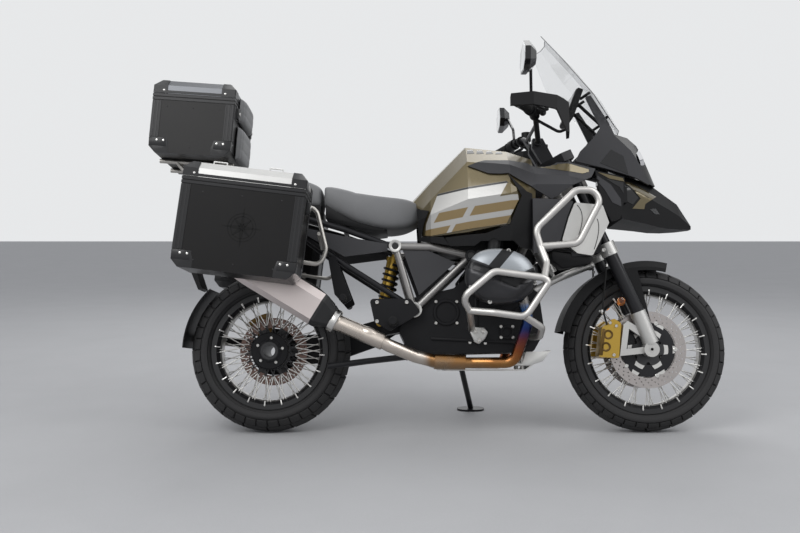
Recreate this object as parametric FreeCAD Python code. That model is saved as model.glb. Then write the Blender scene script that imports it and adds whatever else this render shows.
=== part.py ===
"""Adventure motorcycle with a flat twin engine, wire wheels, tubular guards and three metal cases.

Everything is drawn in the bike's own upright frame, in millimetres: X runs forward from the rear
axle, Y to the rider's left and Z up from the line under both tyres. The last step leans the bike
onto its side stand and moves the middle of its footprint to the origin.
"""
import FreeCAD, Part
import math
import os

# Stance
LEAN = 9.5                      # degrees to the left, onto the side stand
WHEELBASE = 1504.0
RAKE = 24.0                     # steering axis from the upright, degrees
AXLE_OFFSET = 52.0              # front axle ahead of the steering axis
ORIGIN_X = 680.0                # middle of the footprint along the bike
ORIGIN_Y = 170.0                # and across it, once the bike leans
GAP = 0.3                       # between pieces that seat on each other
MOVE_GAP = 6.0                  # between pieces that move past each other
RUN_GAP = 0.05                  # round a shaft in its bearing

# Tyres, rims and hubs
FRONT_TYRE_R = 325.0
FRONT_TYRE_W = 122.0
FRONT_CROWN_R = 62.0
FRONT_SEAT_R = 241.0
FRONT_RIM_W = 84.0
REAR_TYRE_R = 320.0
REAR_TYRE_W = 170.0
REAR_CROWN_R = 88.0
REAR_SEAT_R = 218.0
REAR_RIM_W = 122.0
CROWN_CHORDS = 8                # straight steps across a tyre's crown
RIM_FLANGE = 14.0               # flange height above the bead seat
RIM_WALL = 6.0
SPOKE_PAIRS = 20
SPOKE_R = 2.1
FRONT_HUB_R = 30.0
FRONT_HUB_FLANGE_R = 62.0
REAR_HUB_R = 48.0
REAR_HUB_FLANGE_R = 74.0
AXLE_R = 12.0
FRONT_SPINDLE_R = 10.0          # where the axle sits in the fork's feet
FRONT_HUB_END = 58.0            # half length of the front hub
SPINDLE_BORE_R = 6.0            # the axle is hollow
SPINDLE_END = 26.0              # and ends this far past each leg's middle
HOLLOW_AXLE_R = 31.0
HOLLOW_BORE_R = 23.0

# Brakes
DISC_T = 4.5
FRONT_DISC_R = 152.5
FRONT_DISC_IN = 112.0
FRONT_DISC_Y = 66.0
REAR_DISC_R = 138.0
REAR_DISC_IN = 98.0
REAR_DISC_Y = 62.0
DRIVE_R = 96.0                  # final drive housing
DRIVE_IN = 92.0                 # its face towards the wheel
YOKE_LOW = (440.0, 381.0)       # rear face of the swing arm's yoke
YOKE_HIGH = (466.0, 478.0)

# Fork
LEG_Y = 107.0                   # each leg from the middle plane
LEG_AHEAD = 70.0                # legs ahead of the steering axis
SLIDER_R = 27.0
STANCHION_R = 20.5
FORK_TOP = 850.0                # along the steering axis, from the axle's height
BRIDGE_AHEAD = 30.0             # the upper bridge's far corner, past a fork tube's axis
BRIDGE_OUT = 26.0
BRIDGE_AT = 422.0                # lower bridge, along the steering axis
BRIDGE_T = 30.0
BALL_AT = 398.0                 # ball joint of the leading arm
BALL_R = 19.0
CLAMP_WALL = 7.0
SLIDER_LOW = 120.0
HEAD_LOW = 672.0                # steering head's lower end, along the axis
HEAD_HIGH = 806.0
STEM_R = 16.0

# Bars
BAR_R = 11.0
BRACE_R = 7.0
GRIP_R = 17.5
BAR_RUN = 205.0                 # straight outer stretch of the bar
END_WEIGHT = 28.0
BAR_TOP = 1166.0

# Frame
FRAME_Y = 152.0
FRAME_R = 14.0
FRAME_REAR = (500.0, 728.0)     # upper rear node, where the seat frame starts
FRAME_FRONT = (797.0, 692.0)
HEAD_R = 32.0
STRUT_TOP = (1050.0, 800.0)
STRUT_SEAT_R = 12.0
RAIL_Y = 118.0                  # seat frame rails
RAIL_R = 12.0

# Seat frame rail: place along the bike, height, share of the rail spacing
RAIL_LINE = [(300.0, 800.0, 1.0), (60.0, 870.0, 1.0), (-250.0, 905.0, 0.8)]

# Engine
CRANK_X = 850.0
CRANK_Z = 455.0
CASE_SIDE_Y = 132.0             # side face of the crankcase
HEAD_X = 896.0                  # middle of the cylinder heads
HEAD_Z = 590.0
HEAD_Y = 376.0                  # outer face of the head covers
COVER_DEPTH = 90.0

# Silencer, from its inlet to its outlet
SILENCER_Y = 206.0
SILENCER_IN = (262.0, 436.0)
SILENCER_OUT = (-190.0, 712.0)
LINK_R = 31.0                   # the thick pipe ahead of it

# Radiators
RADIATOR_IN = 178.0
RADIATOR_OUT = 226.0

# Front lamp
COCKPIT_IN = 119.2              # where the lamp's sides meet the panels beside it

# Lamp sections: ahead of the front axle, bottom, top, half width of the bottom, half width of the top
LAMP_ROWS = [(-152.0, 1020.0, 1200.0, 120.0, 112.0), (-64.0, 1012.0, 1180.0, 106.0, 88.0),
             (-24.0, 1004.0, 1150.0, 94.0, 74.0), (1.0, 998.0, 1112.0, 84.0, 60.0),
             (50.0, 986.0, 1004.0, 62.0, 44.0)]

# Tank sections: place along the bike, half width, bottom, top, half width of the top, widest height
TANK_ROWS = [(556.0, 96.0, 780.0, 914.0, 62.0, 820.0), (640.0, 170.0, 760.0, 1006.0, 84.0, 850.0),
             (782.0, 236.0, 770.0, 1148.0, 112.0, 900.0), (945.0, 262.0, 800.0, 1130.0, 118.0, 920.0),
             (1046.0, 226.0, 880.0, 1100.0, 110.0, 960.0)]
PANEL_T = 10.0
STEER_ROOM = 86.0               # radius kept free round the steering axis

# The same values for the fairing's wings, ahead of the tank
WING_ROWS = [(1180.0, 226.0, 880.0, 1092.0, 184.0, 960.0), (1296.0, 204.0, 880.0, 1070.0, 172.0, 960.0)]
STEER_SWEEP = math.hypot(LEG_AHEAD + BRIDGE_AHEAD, LEG_Y + BRIDGE_OUT) + 6.0     # free round the axis
TRIM_LOW = 690.0                # lower edge of the tank's trim
CHEEK_Y = 160.0                 # inner face of the plates beside the beak

# Carriers
RACK_Y = 280.0
RACK_R = 8.0
TAIL_RACK_R = 9.0

# Guards
GUARD_R = 13.0
GUARD_Y = 402.0
UPPER_GUARD_Y = 330.0
BEND_R = 42.0

# Cases
CASE_L = 446.0
CASE_H = 330.0
CASE_W = 205.0
CASE_IN_Y = 292.0               # inner face of a side case
CASE_TILT = 6.8                 # nose down, degrees
LID_H = 58.0
TOP_L = 322.0
TOP_H = 240.0
TOP_W = 410.0
TOP_TILT = 4.0
PAD_T = 30.0                    # back pads ahead of the top case
WALL = 4.0
CASE_CORNER = 26.0
HINGE_OUT = 5.0                 # lid pin behind the case's rear wall
HINGE_R = 4.5
HINGE_PIN_R = 2.5
KNUCKLE = 34.0

FRONT_AXLE_Z = FRONT_TYRE_R + FRONT_CROWN_R * (1 / math.cos(math.radians(LEAN)) - 1)
REAR_AXLE_Z = REAR_TYRE_R + REAR_CROWN_R * (1 / math.cos(math.radians(LEAN)) - 1)


def vec(x, y, z):
    return FreeCAD.Vector(x, y, z)


def rounded_path(points, radius, closed=False):
    """A wire of straight runs joined by tangent arcs."""
    pts = [vec(*p) for p in points]
    count = len(pts)
    corners = []
    for i, here in enumerate(pts):
        if radius <= 0 or (not closed and i in (0, count - 1)):
            corners.append((here, here, None))
            continue
        back = pts[i - 1] - here
        ahead = pts[(i + 1) % count] - here
        reach = 0.48 * min(back.Length, ahead.Length)
        back.normalize()
        ahead.normalize()
        half = back.getAngle(ahead) / 2
        if half > math.radians(89.5):
            corners.append((here, here, None))
            continue
        cut = min(radius / math.tan(half), reach)
        arc_r = cut * math.tan(half)
        middle = here + (back + ahead).normalize() * (arc_r / math.sin(half) - arc_r)
        corners.append((here + back * cut, here + ahead * cut, middle))
    edges = []
    for i, (first, last, middle) in enumerate(corners):
        if middle is not None:
            edges.append(Part.Arc(first, middle, last).toShape())
        if i + 1 < count or closed:
            target = corners[(i + 1) % count][0]
            if (target - last).Length > 1e-4:
                edges.append(Part.LineSegment(last, target).toShape())
    return Part.Wire(edges)


def pipe(points, radius, bend=BEND_R):
    """A solid round bar along straight runs with tangent bends."""
    path = rounded_path(points, bend)
    start = vec(*points[0])
    along = vec(*points[1]) - start
    ring = Part.Wire([Part.makeCircle(radius, start, along)])
    return path.makePipeShell([ring], True, False)


def hoop(points, radius, bend=BEND_R):
    """A closed loop of round bar, as two bent halves that meet on straight runs."""
    pts = [vec(*p) for p in points]
    half = len(pts) // 2
    first = (pts[0] + pts[1]) * 0.5
    second = (pts[half] + pts[half + 1]) * 0.5
    there = [first] + pts[1:half + 1] + [second]
    back = [second] + pts[half + 1:] + [pts[0], first]
    return [pipe(there, radius, bend), pipe(back, radius, bend)]


def rod(start, end, radius):
    a, b = vec(*start), vec(*end)
    return Part.makeCylinder(radius, (b - a).Length, a, b - a)


def slab(points, low, high, radius=0.0):
    """A side-view outline, in X and Z, as thick as from low to high in Y."""
    wire = rounded_path([(x, low, z) for x, z in points], radius, True)
    return Part.Face(wire).extrude(vec(0, high - low, 0))


def plan(points, low, high, radius=0.0):
    """A plan-view outline, in X and Y, from low to high in Z."""
    wire = rounded_path([(x, y, low) for x, y in points], radius, True)
    return Part.Face(wire).extrude(vec(0, 0, high - low))


def skin(sections, ruled=True):
    """A solid through closed outlines that all have the same number of points."""
    wires = [Part.makePolygon([vec(*p) for p in s] + [vec(*s[0])]) for s in sections]
    return Part.makeLoft(wires, True, ruled)


def turned(profile, x, z, y=0.0):
    """A ring or disc turned about the Y axis from (radius, offset) points."""
    pts = [vec(x, y + off, z + r) for r, off in profile]
    face = Part.Face(Part.makePolygon(pts + [pts[0]]))
    return face.revolve(vec(x, y, z), vec(0, 1, 0), 360)


def mirrored(shape):
    return shape.mirror(vec(0, 0, 0), vec(0, 1, 0))


def shifted(shape, x=0.0, y=0.0, z=0.0):
    moved = shape.copy()
    moved.translate(vec(x, y, z))
    return moved


def both(shape):
    return [shape, mirrored(shape)]


def joined(shapes):
    whole = shapes[0]
    if len(shapes) > 1:
        whole = whole.fuse(shapes[1:])
    return whole.removeSplitter()


def less(shape, *tools):
    """The shape with the tools cut away, without crumbs."""
    left = shape.cut(list(tools))
    solids = left.Solids
    most = max(s.Volume for s in solids)
    return Part.makeCompound([s for s in solids if s.Volume > 0.02 * most])


def group(shapes):
    return Part.makeCompound([s for shape in shapes for s in shape.Solids])


def steer(along, side, ahead):
    """A point of the steered front end, by its place along the steering axis from the axle's height."""
    a = math.radians(RAKE)
    base_x = WHEELBASE - AXLE_OFFSET * math.cos(a)
    base_z = FRONT_AXLE_Z - AXLE_OFFSET * math.sin(a)
    x = base_x - along * math.sin(a) + ahead * math.cos(a)
    z = base_z + along * math.cos(a) + ahead * math.sin(a)
    return (x, side, z)


# Wheels

def tyre(x, z, radius, width, crown, seat, rim_w):
    """A tyre seated between the rim's flanges, with a round crown and full shoulders."""
    half = width / 2
    inner = rim_w / 2 - RIM_WALL - GAP
    flange = seat + RIM_FLANGE
    edge = math.asin(0.9 * half / crown)
    flank_r = (radius - crown * (1 - math.cos(edge)) + flange) / 2
    flank = [(seat + GAP, -inner), (flange + 2, -inner), (flank_r - 12, -half * 0.92), (flank_r + 10, -half)]
    tread = []
    for i in range(CROWN_CHORDS + 1):
        a = edge * (2 * i / CROWN_CHORDS - 1)
        tread.append((radius - crown * (1 - math.cos(a)), crown * math.sin(a)))
    return turned(flank + tread + [(r, -off) for r, off in reversed(flank)], x, z)


def rim(x, z, seat, width):
    half = width / 2
    well = seat - 16
    top = seat + RIM_FLANGE
    profile = [(seat, -half + RIM_WALL), (well, -half * 0.45), (well, half * 0.45),
               (seat, half - RIM_WALL), (top, half - RIM_WALL), (top, half),
               (seat - RIM_WALL, half), (well - RIM_WALL, half * 0.5),
               (well - RIM_WALL, -half * 0.5), (seat - RIM_WALL, -half), (top, -half),
               (top, -half + RIM_WALL)]
    return turned(profile, x, z)


def spokes(x, z, hub_r, hub_y, rim_r, rim_y):
    """Crossed wire spokes from both hub flanges to the rim's edges."""
    made = []
    step = 360.0 / SPOKE_PAIRS
    lean = 1.05 * step
    for i in range(SPOKE_PAIRS):
        for side in (-1, 1):
            for way in (-1, 1):
                at = math.radians(i * step + (side + 1) * step / 4 + way * 1.2)
                out = at + way * math.radians(lean)
                lift = way * SPOKE_R * 1.4
                inner = (x + hub_r * math.cos(at), side * (hub_y + lift), z + hub_r * math.sin(at))
                outer = (x + rim_r * math.cos(out), side * (rim_y + lift), z + rim_r * math.sin(out))
                made.append(rod(inner, outer, SPOKE_R))
    return made


def spider(x, z, y, thick, hub_r, reach, arms, width):
    """A disc carrier: a ring on the hub with arms out to the disc."""
    parts = [turned([(hub_r, 0), (hub_r + 26, 0), (hub_r + 26, thick), (hub_r, thick)], x, z, y)]
    for i in range(arms):
        a = 2 * math.pi * i / arms
        u, w = (math.cos(a), math.sin(a)), (-math.sin(a), math.cos(a))
        corners = [(hub_r + 4, -width), (reach + 9, -width * 0.5), (reach + 9, width * 0.5),
                   (hub_r + 4, width)]
        pts = [(x + r * u[0] + s * w[0], z + r * u[1] + s * w[1]) for r, s in corners]
        parts.append(slab(pts, y, y + thick))
    return joined(parts).common(rod((x, y, z), (x, y + thick, z), reach))


def front_wheel():
    x, z = WHEELBASE, FRONT_AXLE_Z
    spoke_y, r, end = 34.0, FRONT_HUB_FLANGE_R, FRONT_HUB_END
    bore = AXLE_R + RUN_GAP
    carrier_y = FRONT_DISC_Y - DISC_T / 2
    hub = turned([(bore, -end), (FRONT_HUB_R, -end), (FRONT_HUB_R, -46), (r, -44), (r, -28),
                  (FRONT_HUB_R, -22), (FRONT_HUB_R, 22), (r, 28), (r, 44), (FRONT_HUB_R, 46),
                  (FRONT_HUB_R, end), (bore, end)], x, z)
    wires = spokes(x, z, r - 4, spoke_y, FRONT_SEAT_R - 3, FRONT_RIM_W / 2 - 9)
    carrier = spider(x, z, carrier_y - 6, 6 + DISC_T, FRONT_HUB_R - 6, FRONT_DISC_IN - GAP, 6, 24)
    neck = turned([(FRONT_HUB_R - 6, 50), (FRONT_HUB_R + 12, 50), (FRONT_HUB_R + 12, carrier_y),
                   (FRONT_HUB_R - 6, carrier_y)], x, z)
    return joined([hub, rim(x, z, FRONT_SEAT_R, FRONT_RIM_W)] + wires + both(carrier) + both(neck))


def rear_wheel():
    x, z = 0.0, REAR_AXLE_Z
    r = REAR_HUB_FLANGE_R
    hub = turned([(HOLLOW_BORE_R, -72), (HOLLOW_AXLE_R + 4, -72), (REAR_HUB_R, -56), (r, -52), (r, -34),
                  (REAR_HUB_R, -26), (REAR_HUB_R, 26), (r, 34), (r, 50), (REAR_HUB_R, 52),
                  (HOLLOW_AXLE_R, 54), (HOLLOW_AXLE_R, 150), (HOLLOW_BORE_R, 150)], x, z)
    wires = spokes(x, z, r - 4, 42.0, REAR_SEAT_R - 3, REAR_RIM_W / 2 - 9)
    carrier = spider(x, z, REAR_DISC_Y - DISC_T / 2 - 7, 7 + DISC_T, REAR_HUB_R - 10,
                     REAR_DISC_IN - GAP, 6, 26)
    return joined([hub, rim(x, z, REAR_SEAT_R, REAR_RIM_W), carrier] + wires)


def disc(x, z, y, outer, inner):
    half = DISC_T / 2
    return turned([(inner, -half), (outer, -half), (outer, half), (inner, half)], x, z, y)


def front_discs():
    return group(both(disc(WHEELBASE, FRONT_AXLE_Z, FRONT_DISC_Y, FRONT_DISC_R, FRONT_DISC_IN)))


def rear_disc():
    return disc(0.0, REAR_AXLE_Z, REAR_DISC_Y, REAR_DISC_R, REAR_DISC_IN)


# Steered front end

def fork_tubes():
    """The black sliders and the slimmer tubes above them."""
    top = BRIDGE_AT + BRIDGE_T
    slider = rod(steer(SLIDER_LOW, LEG_Y, LEG_AHEAD), steer(top, LEG_Y, LEG_AHEAD), SLIDER_R)
    upper = rod(steer(top, LEG_Y, LEG_AHEAD), steer(FORK_TOP, LEG_Y, LEG_AHEAD), STANCHION_R)
    return group(both(joined([slider, upper])))


def fork_foot():
    """The casting at a leg's lower end, with the axle lug and the caliper's arms."""
    x, z = WHEELBASE, FRONT_AXLE_Z
    foot = rod(steer(20, LEG_Y, LEG_AHEAD - 6), steer(SLIDER_LOW + 34, LEG_Y, LEG_AHEAD), SLIDER_R + 4)
    socket = rod(steer(SLIDER_LOW - GAP, LEG_Y, LEG_AHEAD), steer(SLIDER_LOW + 60, LEG_Y, LEG_AHEAD),
                 SLIDER_R + GAP)
    lug = rod((x, LEG_Y - 22, z), (x, LEG_Y + 24, z), 30)
    in_y, out_y = LEG_Y - 16, LEG_Y + 6
    arms = [slab([(x - 6, z - 14), (x - 6, z + 12), (x - 118, z - 2), (x - 122, z - 26)], in_y, out_y),
            slab([(x - 10, z + 30), (x + 14, z + 52), (x - 88, z + 112), (x - 104, z + 96)], in_y, out_y),
            slab([(x - 122, z - 26), (x - 98, z - 20), (x - 80, z + 104), (x - 104, z + 100)], in_y, out_y)]
    leg = joined([less(foot, socket), lug] + arms)
    return less(leg, rod((x, 0, z), (x, 300, z), FRONT_SPINDLE_R))


def lower_bridge():
    """The plate that clamps both sliders and sits over the leading arm's ball."""
    outline = [(-20, 16), (LEG_AHEAD - 30, LEG_Y + 12), (LEG_AHEAD + 24, LEG_Y + 12)]
    ring = outline + [(f, -s) for f, s in reversed(outline)]
    low, high = BRIDGE_AT, BRIDGE_AT + BRIDGE_T - 6
    plate = skin([[steer(at, s, f) for f, s in ring] for at in (low, high)])
    clamp = rod(steer(BRIDGE_AT - 22, LEG_Y, LEG_AHEAD), steer(BRIDGE_AT + BRIDGE_T, LEG_Y, LEG_AHEAD),
                SLIDER_R + CLAMP_WALL)
    boss = rod(steer(BALL_AT + BALL_R + 1, 0, 0), steer(low, 0, 0), 14)
    hole = rod(steer(0, LEG_Y, LEG_AHEAD), steer(FORK_TOP, LEG_Y, LEG_AHEAD), SLIDER_R + GAP)
    return less(joined([plate, boss] + both(clamp)), hole, mirrored(hole))


def fork_castings():
    """The axle feet with their caliper arms, the lower bridge and the axle."""
    x, z = WHEELBASE, FRONT_AXLE_Z
    leg = fork_foot()
    rods = [rod((x, -LEG_Y - SPINDLE_END, z), (x, LEG_Y + SPINDLE_END, z), FRONT_SPINDLE_R - 0.05),
            rod((x, -FRONT_HUB_END, z), (x, FRONT_HUB_END, z), AXLE_R)]
    for s in (-1, 1):
        rods.append(rod((x, s * (FRONT_HUB_END + GAP), z), (x, s * (LEG_Y - 22 - GAP), z), 16))
    end = LEG_Y + SPINDLE_END
    axle = less(joined(rods), rod((x, -end, z), (x, end, z), SPINDLE_BORE_R))
    return group([leg, mirrored(leg), lower_bridge(), axle])


def top_bridge():
    """The upper bridge over the fork tubes, with the steering stem and the two bar risers."""
    low, high = HEAD_HIGH + 10, FORK_TOP + 2
    ring = [(-34, 40), (-26, 74), (LEG_AHEAD - 14, LEG_Y + 34),
            (LEG_AHEAD + BRIDGE_AHEAD, LEG_Y + BRIDGE_OUT), (LEG_AHEAD + 34, LEG_Y - 26), (44, 30)]
    outline = ring + [(f, -s) for f, s in reversed(ring)]
    plate = skin([[steer(at, s, f) for f, s in outline] for at in (low, high)])
    hole = rod(steer(0, LEG_Y, LEG_AHEAD), steer(FORK_TOP + 90, LEG_Y, LEG_AHEAD), STANCHION_R + GAP)
    plate = less(plate, hole, mirrored(hole))
    nut = rod(steer(high, 0, 0), steer(high + 22, 0, 0), 20)
    stem = rod(steer(HEAD_LOW, 0, 0), steer(low, 0, 0), STEM_R)
    bar_x = bar_points(1)[0][0]
    foot = [steer(high - 4, 0, f) for f in (-12, 40)]
    riser = slab([(foot[0][0], foot[0][2]), (foot[1][0], foot[1][2]), (bar_x + 22, BAR_TOP + 20),
                  (bar_x - 20, BAR_TOP + 20), (bar_x - 22, BAR_TOP - 20)], 34, 62, 4)
    riser = less(riser, rod((bar_x, 0, BAR_TOP), (bar_x, 90, BAR_TOP), BAR_R + 3 + GAP))
    return joined([plate, nut, stem] + both(riser))


def bar_points(side):
    """The handlebar's centre line from the middle out to one end."""
    x = steer((BAR_TOP - FRONT_AXLE_Z) / math.cos(math.radians(RAKE)) + 20, 0, 6)[0]
    out = vec(-86, 186, -16).normalize() * BAR_RUN
    bend = (x - 46, 262.0, BAR_TOP + 78)
    return [(x, 0, BAR_TOP), (x, side * 84, BAR_TOP), (x - 22, side * 172, BAR_TOP + 74),
            (bend[0], side * bend[1], bend[2]), (bend[0] + out.x, side * (bend[1] + out.y), bend[2] + out.z)]


def bar_core(side, radius):
    """One half of the bent bar at a given radius, grip stretch and end weight left out."""
    pts = bar_points(side)
    return [pipe(pts, radius, 40), rod(pts[0], pts[1], radius + 3)]


def handlebar():
    """A braced bar with its grips and end weights."""
    made = []
    for side in (-1, 1):
        made += bar_core(side, BAR_R)
        made.append(rod(along_grip(side, 46), along_grip(side, BAR_RUN - END_WEIGHT - 4), GRIP_R))
        made.append(rod(along_grip(side, BAR_RUN - END_WEIGHT), along_grip(side, BAR_RUN), GRIP_R + 3))
    brace_y, brace_z = 150, BAR_TOP + 56
    x = bar_points(1)[2][0] + 5
    made.append(rod((x, -brace_y, brace_z), (x, brace_y, brace_z), BRACE_R))
    return joined(made)


def along_grip(side, distance, ahead=0.0, up=0.0):
    """A point beside the bar, by its distance outwards from the outer bend."""
    pts = bar_points(side)
    a, b = vec(*pts[3]), vec(*pts[4 if distance > 0 else 2])
    p = a + (b - a).normalize() * abs(distance)
    return (p.x + ahead, p.y, p.z + up)


def controls():
    """Switch cubes, master cylinders with their levers, and reservoirs."""
    made = []
    for side in (-1, 1):
        cube = rod(along_grip(side, 8), along_grip(side, 42), 24)
        perch = rod(along_grip(side, -22), along_grip(side, 4), 19)
        cup_at = along_grip(side, -14, 40, 8)
        cylinder = rod(along_grip(side, -30, 36, 2), along_grip(side, 40, 50, 2), 13)
        cup = rod(cup_at, (cup_at[0], cup_at[1], cup_at[2] + 38), 21)
        web = rod(along_grip(side, -10), along_grip(side, -10, 38, 2), 12)
        lever = pipe([along_grip(side, 30, 52, 0), along_grip(side, 70, 62, -4),
                      along_grip(side, 120, 58, -6), along_grip(side, 176, 62, -6)], 6.5, 30)
        whole = joined([cube, perch, cylinder, cup, web, lever])
        made.append(less(whole, *bar_core(side, BAR_R + GAP)))
    return group(made)


def hand_guards():
    """Moulded shells that run from the bar end round the front of each grip."""
    x0, y0, z0 = along_grip(1, BAR_RUN)
    outer = [(x0 - 24, y0 + 2), (x0 - 24, y0 + 18), (x0 + 60, y0 + 26), (x0 + 150, y0 - 2),
             (x0 + 206, y0 - 70), (x0 + 226, y0 - 190), (x0 + 214, y0 - 190), (x0 + 192, y0 - 74),
             (x0 + 140, y0 - 12), (x0 + 60, y0 + 14), (x0 + 20, y0 + 2)]
    shell = plan(outer, z0 - 120, z0 + 60)
    side = slab([(x0 - 30, z0 - 20), (x0 - 22, z0 + 24), (x0 + 60, z0 + 30), (x0 + 180, z0 + 22),
                 (x0 + 240, z0 + 8), (x0 + 240, z0 - 88), (x0 + 196, z0 - 100), (x0 + 150, z0 - 28),
                 (x0 + 60, z0 - 18)], y0 - 260, y0 + 40)
    stay = pipe([(x0 + 218, y0 - 160, z0 - 60), (x0 + 190, y0 - 210, z0 - 62),
                 along_grip(1, -56, 0, -14)], 6, 30)
    ring = rod(along_grip(1, -62), along_grip(1, -50), 20)
    end = rod(along_grip(1, BAR_RUN - 60), along_grip(1, BAR_RUN + GAP), 40)
    clamp = less(joined([stay, ring]), *bar_core(1, BAR_R + GAP))
    return group(both(joined([less(shell.common(side), end), clamp])))


def mirrors():
    """Stalks off the perches with closed mirror heads."""
    foot = along_grip(1, 16, 0, 24.9)
    cx, cy, cz = foot[0] - 36, foot[1] + 148, foot[2] + 132
    stalk = pipe([foot, (foot[0] - 2, foot[1] + 10, foot[2] + 46),
                  (cx + 22, cy - 54, cz - 18), (cx + 18, cy - 20, cz - 8)], 6, 30)
    face = [(-78, -14), (-56, -46), (34, -56), (80, -30), (86, 18), (44, 52), (-54, 40)]
    levels = ((-16, 1.0), (4, 1.0), (30, 0.55))
    head = skin([[(cx + off, cy + a * k, cz + b * k) for a, b in face] for off, k in levels])
    return group(both(joined([stalk, head])))


def front_calipers():
    """Radial calipers behind the legs, cut out for the disc and the rim."""
    x, z = WHEELBASE, FRONT_AXLE_Z
    body = slab([(x - 206, z - 30), (x - 124, z - 34), (x - 106, z + 98), (x - 142, z + 122),
                 (x - 190, z + 86)], FRONT_DISC_Y - 20, LEG_Y + 6, 10)
    slot = turned([(0, -DISC_T / 2 - MOVE_GAP), (FRONT_DISC_R + MOVE_GAP, -DISC_T / 2 - MOVE_GAP),
                   (FRONT_DISC_R + MOVE_GAP, DISC_T / 2 + MOVE_GAP), (0, DISC_T / 2 + MOVE_GAP)],
                  x, z, FRONT_DISC_Y)
    arms = slab([(x - 126, z - 40), (x - 96, z - 40), (x - 70, z + 130), (x - 112, z + 130)],
                LEG_Y - 16 - GAP, LEG_Y + 8)
    carrier = turned([(0, 40), (FRONT_DISC_IN + MOVE_GAP, 40), (FRONT_DISC_IN + MOVE_GAP, 78), (0, 78)],
                     x, z)
    body = less(body, slot, arms, carrier)
    return group(both(body))


def front_fender():
    """The slim fender over the front tyre, hung between the sliders, with a flat stay down each side."""
    x, z = WHEELBASE, FRONT_AXLE_Z
    half, depth, wall = 74.0, 34.0, 3.5
    outer_r, inner_r = FRONT_TYRE_R + 30, FRONT_TYRE_R + 30 - wall
    edge = LEG_Y - SLIDER_R - GAP
    ring = turned([(inner_r, -half + wall), (inner_r, half - wall), (inner_r - depth, edge - wall),
                   (inner_r - depth, edge), (outer_r - depth + 10, edge), (outer_r, half), (outer_r, -half),
                   (outer_r - depth + 10, -edge), (inner_r - depth, -edge),
                   (inner_r - depth, wall - edge)], x, z)
    wedge = slab([(x, z)] + [(x + 600 * math.cos(math.radians(a)), z + 600 * math.sin(math.radians(a)))
                             for a in (76, 110, 140, 168)], -200, 200)
    stay = slab([(x - 90, z + 324), (x - 36, z + 314), (x + 30, z + 24), (x + 6, z + 20), (x + 12, z + 100)],
                edge - 2.5, LEG_Y - 22 - GAP)
    foot = fork_foot()
    stay = less(stay, foot, shifted(foot, 0, -GAP, 0))
    return joined([ring.common(wedge)] + both(stay))


# Engine and running gear

def engine_side():
    """The crankcase's and gearbox's outline from the side."""
    return [(CRANK_X - 335, CRANK_Z - 60), (CRANK_X - 290, CRANK_Z + 70), (CRANK_X - 120, CRANK_Z + 110),
            (CRANK_X - 60, CRANK_Z + 160), (CRANK_X + 130, CRANK_Z + 160), (CRANK_X + 215, CRANK_Z + 90),
            (CRANK_X + 235, CRANK_Z - 60), (CRANK_X + 190, CRANK_Z - 140), (CRANK_X - 210, CRANK_Z - 150),
            (CRANK_X - 300, CRANK_Z - 130)]


def engine_room(x=0.0, z=0.0, wide=GAP):
    """The crankcase block with a seating gap, moved the way that the gap has to open."""
    return shifted(slab(engine_side(), -CASE_SIDE_Y - wide, CASE_SIDE_Y + wide, 24), x, 0, z)


def engine_case():
    """The crankcase and gearbox, one plain block at its real size."""
    return slab(engine_side(), -CASE_SIDE_Y, CASE_SIDE_Y, 24)


def head_outline(scale=1.0):
    """The cylinder head's outline from the side."""
    ring = [(-128, -46), (-132, 34), (-84, 100), (30, 106), (112, 62), (136, -28), (76, -92), (-50, -106)]
    return [(HEAD_X + a * scale, HEAD_Z + b * scale) for a, b in ring]


def cylinders():
    """The two finned barrels between the crankcase and the heads."""
    start, end = CASE_SIDE_Y + GAP, HEAD_Y - COVER_DEPTH
    core = slab(head_outline(0.58), start, end, 20)
    fins = [slab(head_outline(0.7), start + 12 + 15 * i, start + 18 + 15 * i, 20) for i in range(5)]
    head = slab(head_outline(0.94), end - 46, end, 24)
    return group(both(joined([core, head] + fins)))


def head_covers():
    """Faceted covers on the ends of the heads."""
    start = HEAD_Y - COVER_DEPTH + GAP
    levels = ((0, 1.0), (50, 1.0), (80, 0.78), (COVER_DEPTH - GAP, 0.6))
    return group(both(skin([[(x, start + off, z) for x, z in head_outline(s)] for off, s in levels])))


def main_frame():
    """The tubular main frame: two side trusses that run forward to the steering head."""
    y = FRAME_Y
    upper, pivot = (FRAME_REAR[0], y, FRAME_REAR[1]), (575, y, 478)
    front = (FRAME_FRONT[0], y - 14, FRAME_FRONT[1])
    nose = (985, 84, 662)
    head_at = steer(HEAD_HIGH - 60, 0, 0)
    head_in = (head_at[0] - 16, 20, head_at[2])
    truss = [pipe([upper, (640, y, 726), front, nose, head_in], FRAME_R + 1, 60), rod(front, pivot, FRAME_R),
             rod(upper, pivot, FRAME_R), rod((972, 88, CRANK_Z + 140), nose, FRAME_R)]
    for at, r in ((pivot, 29), (upper, 24), (front, 20)):
        truss.append(rod((at[0], at[1] - 16, at[2]), (at[0], at[1] + 16, at[2]), r))
    side = joined(truss)
    strut_x, strut_z = STRUT_TOP
    cross = [rod((upper[0], -y, upper[2]), (upper[0], y, upper[2]), FRAME_R),
             rod((front[0], -y + 14, front[2]), (front[0], y - 14, front[2]), FRAME_R),
             rod((strut_x, -56, strut_z), (strut_x, 56, strut_z), STRUT_SEAT_R)]
    head = rod(steer(HEAD_LOW, 0, 0), steer(HEAD_HIGH, 0, 0), HEAD_R)
    ring = ((HEAD_R - 6, -20), (HEAD_R - 6, 20), (130, 20), (130, -20))
    carrier = skin([[steer(at, side, f) for f, side in ring]
                    for at in (700, 780)])
    whole = joined([side, mirrored(side), head, carrier] + cross)
    return less(whole, rod(steer(HEAD_LOW - 20, 0, 0), steer(FORK_TOP, 0, 0), STEM_R + RUN_GAP),
                engine_room(0, GAP, 0))


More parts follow.
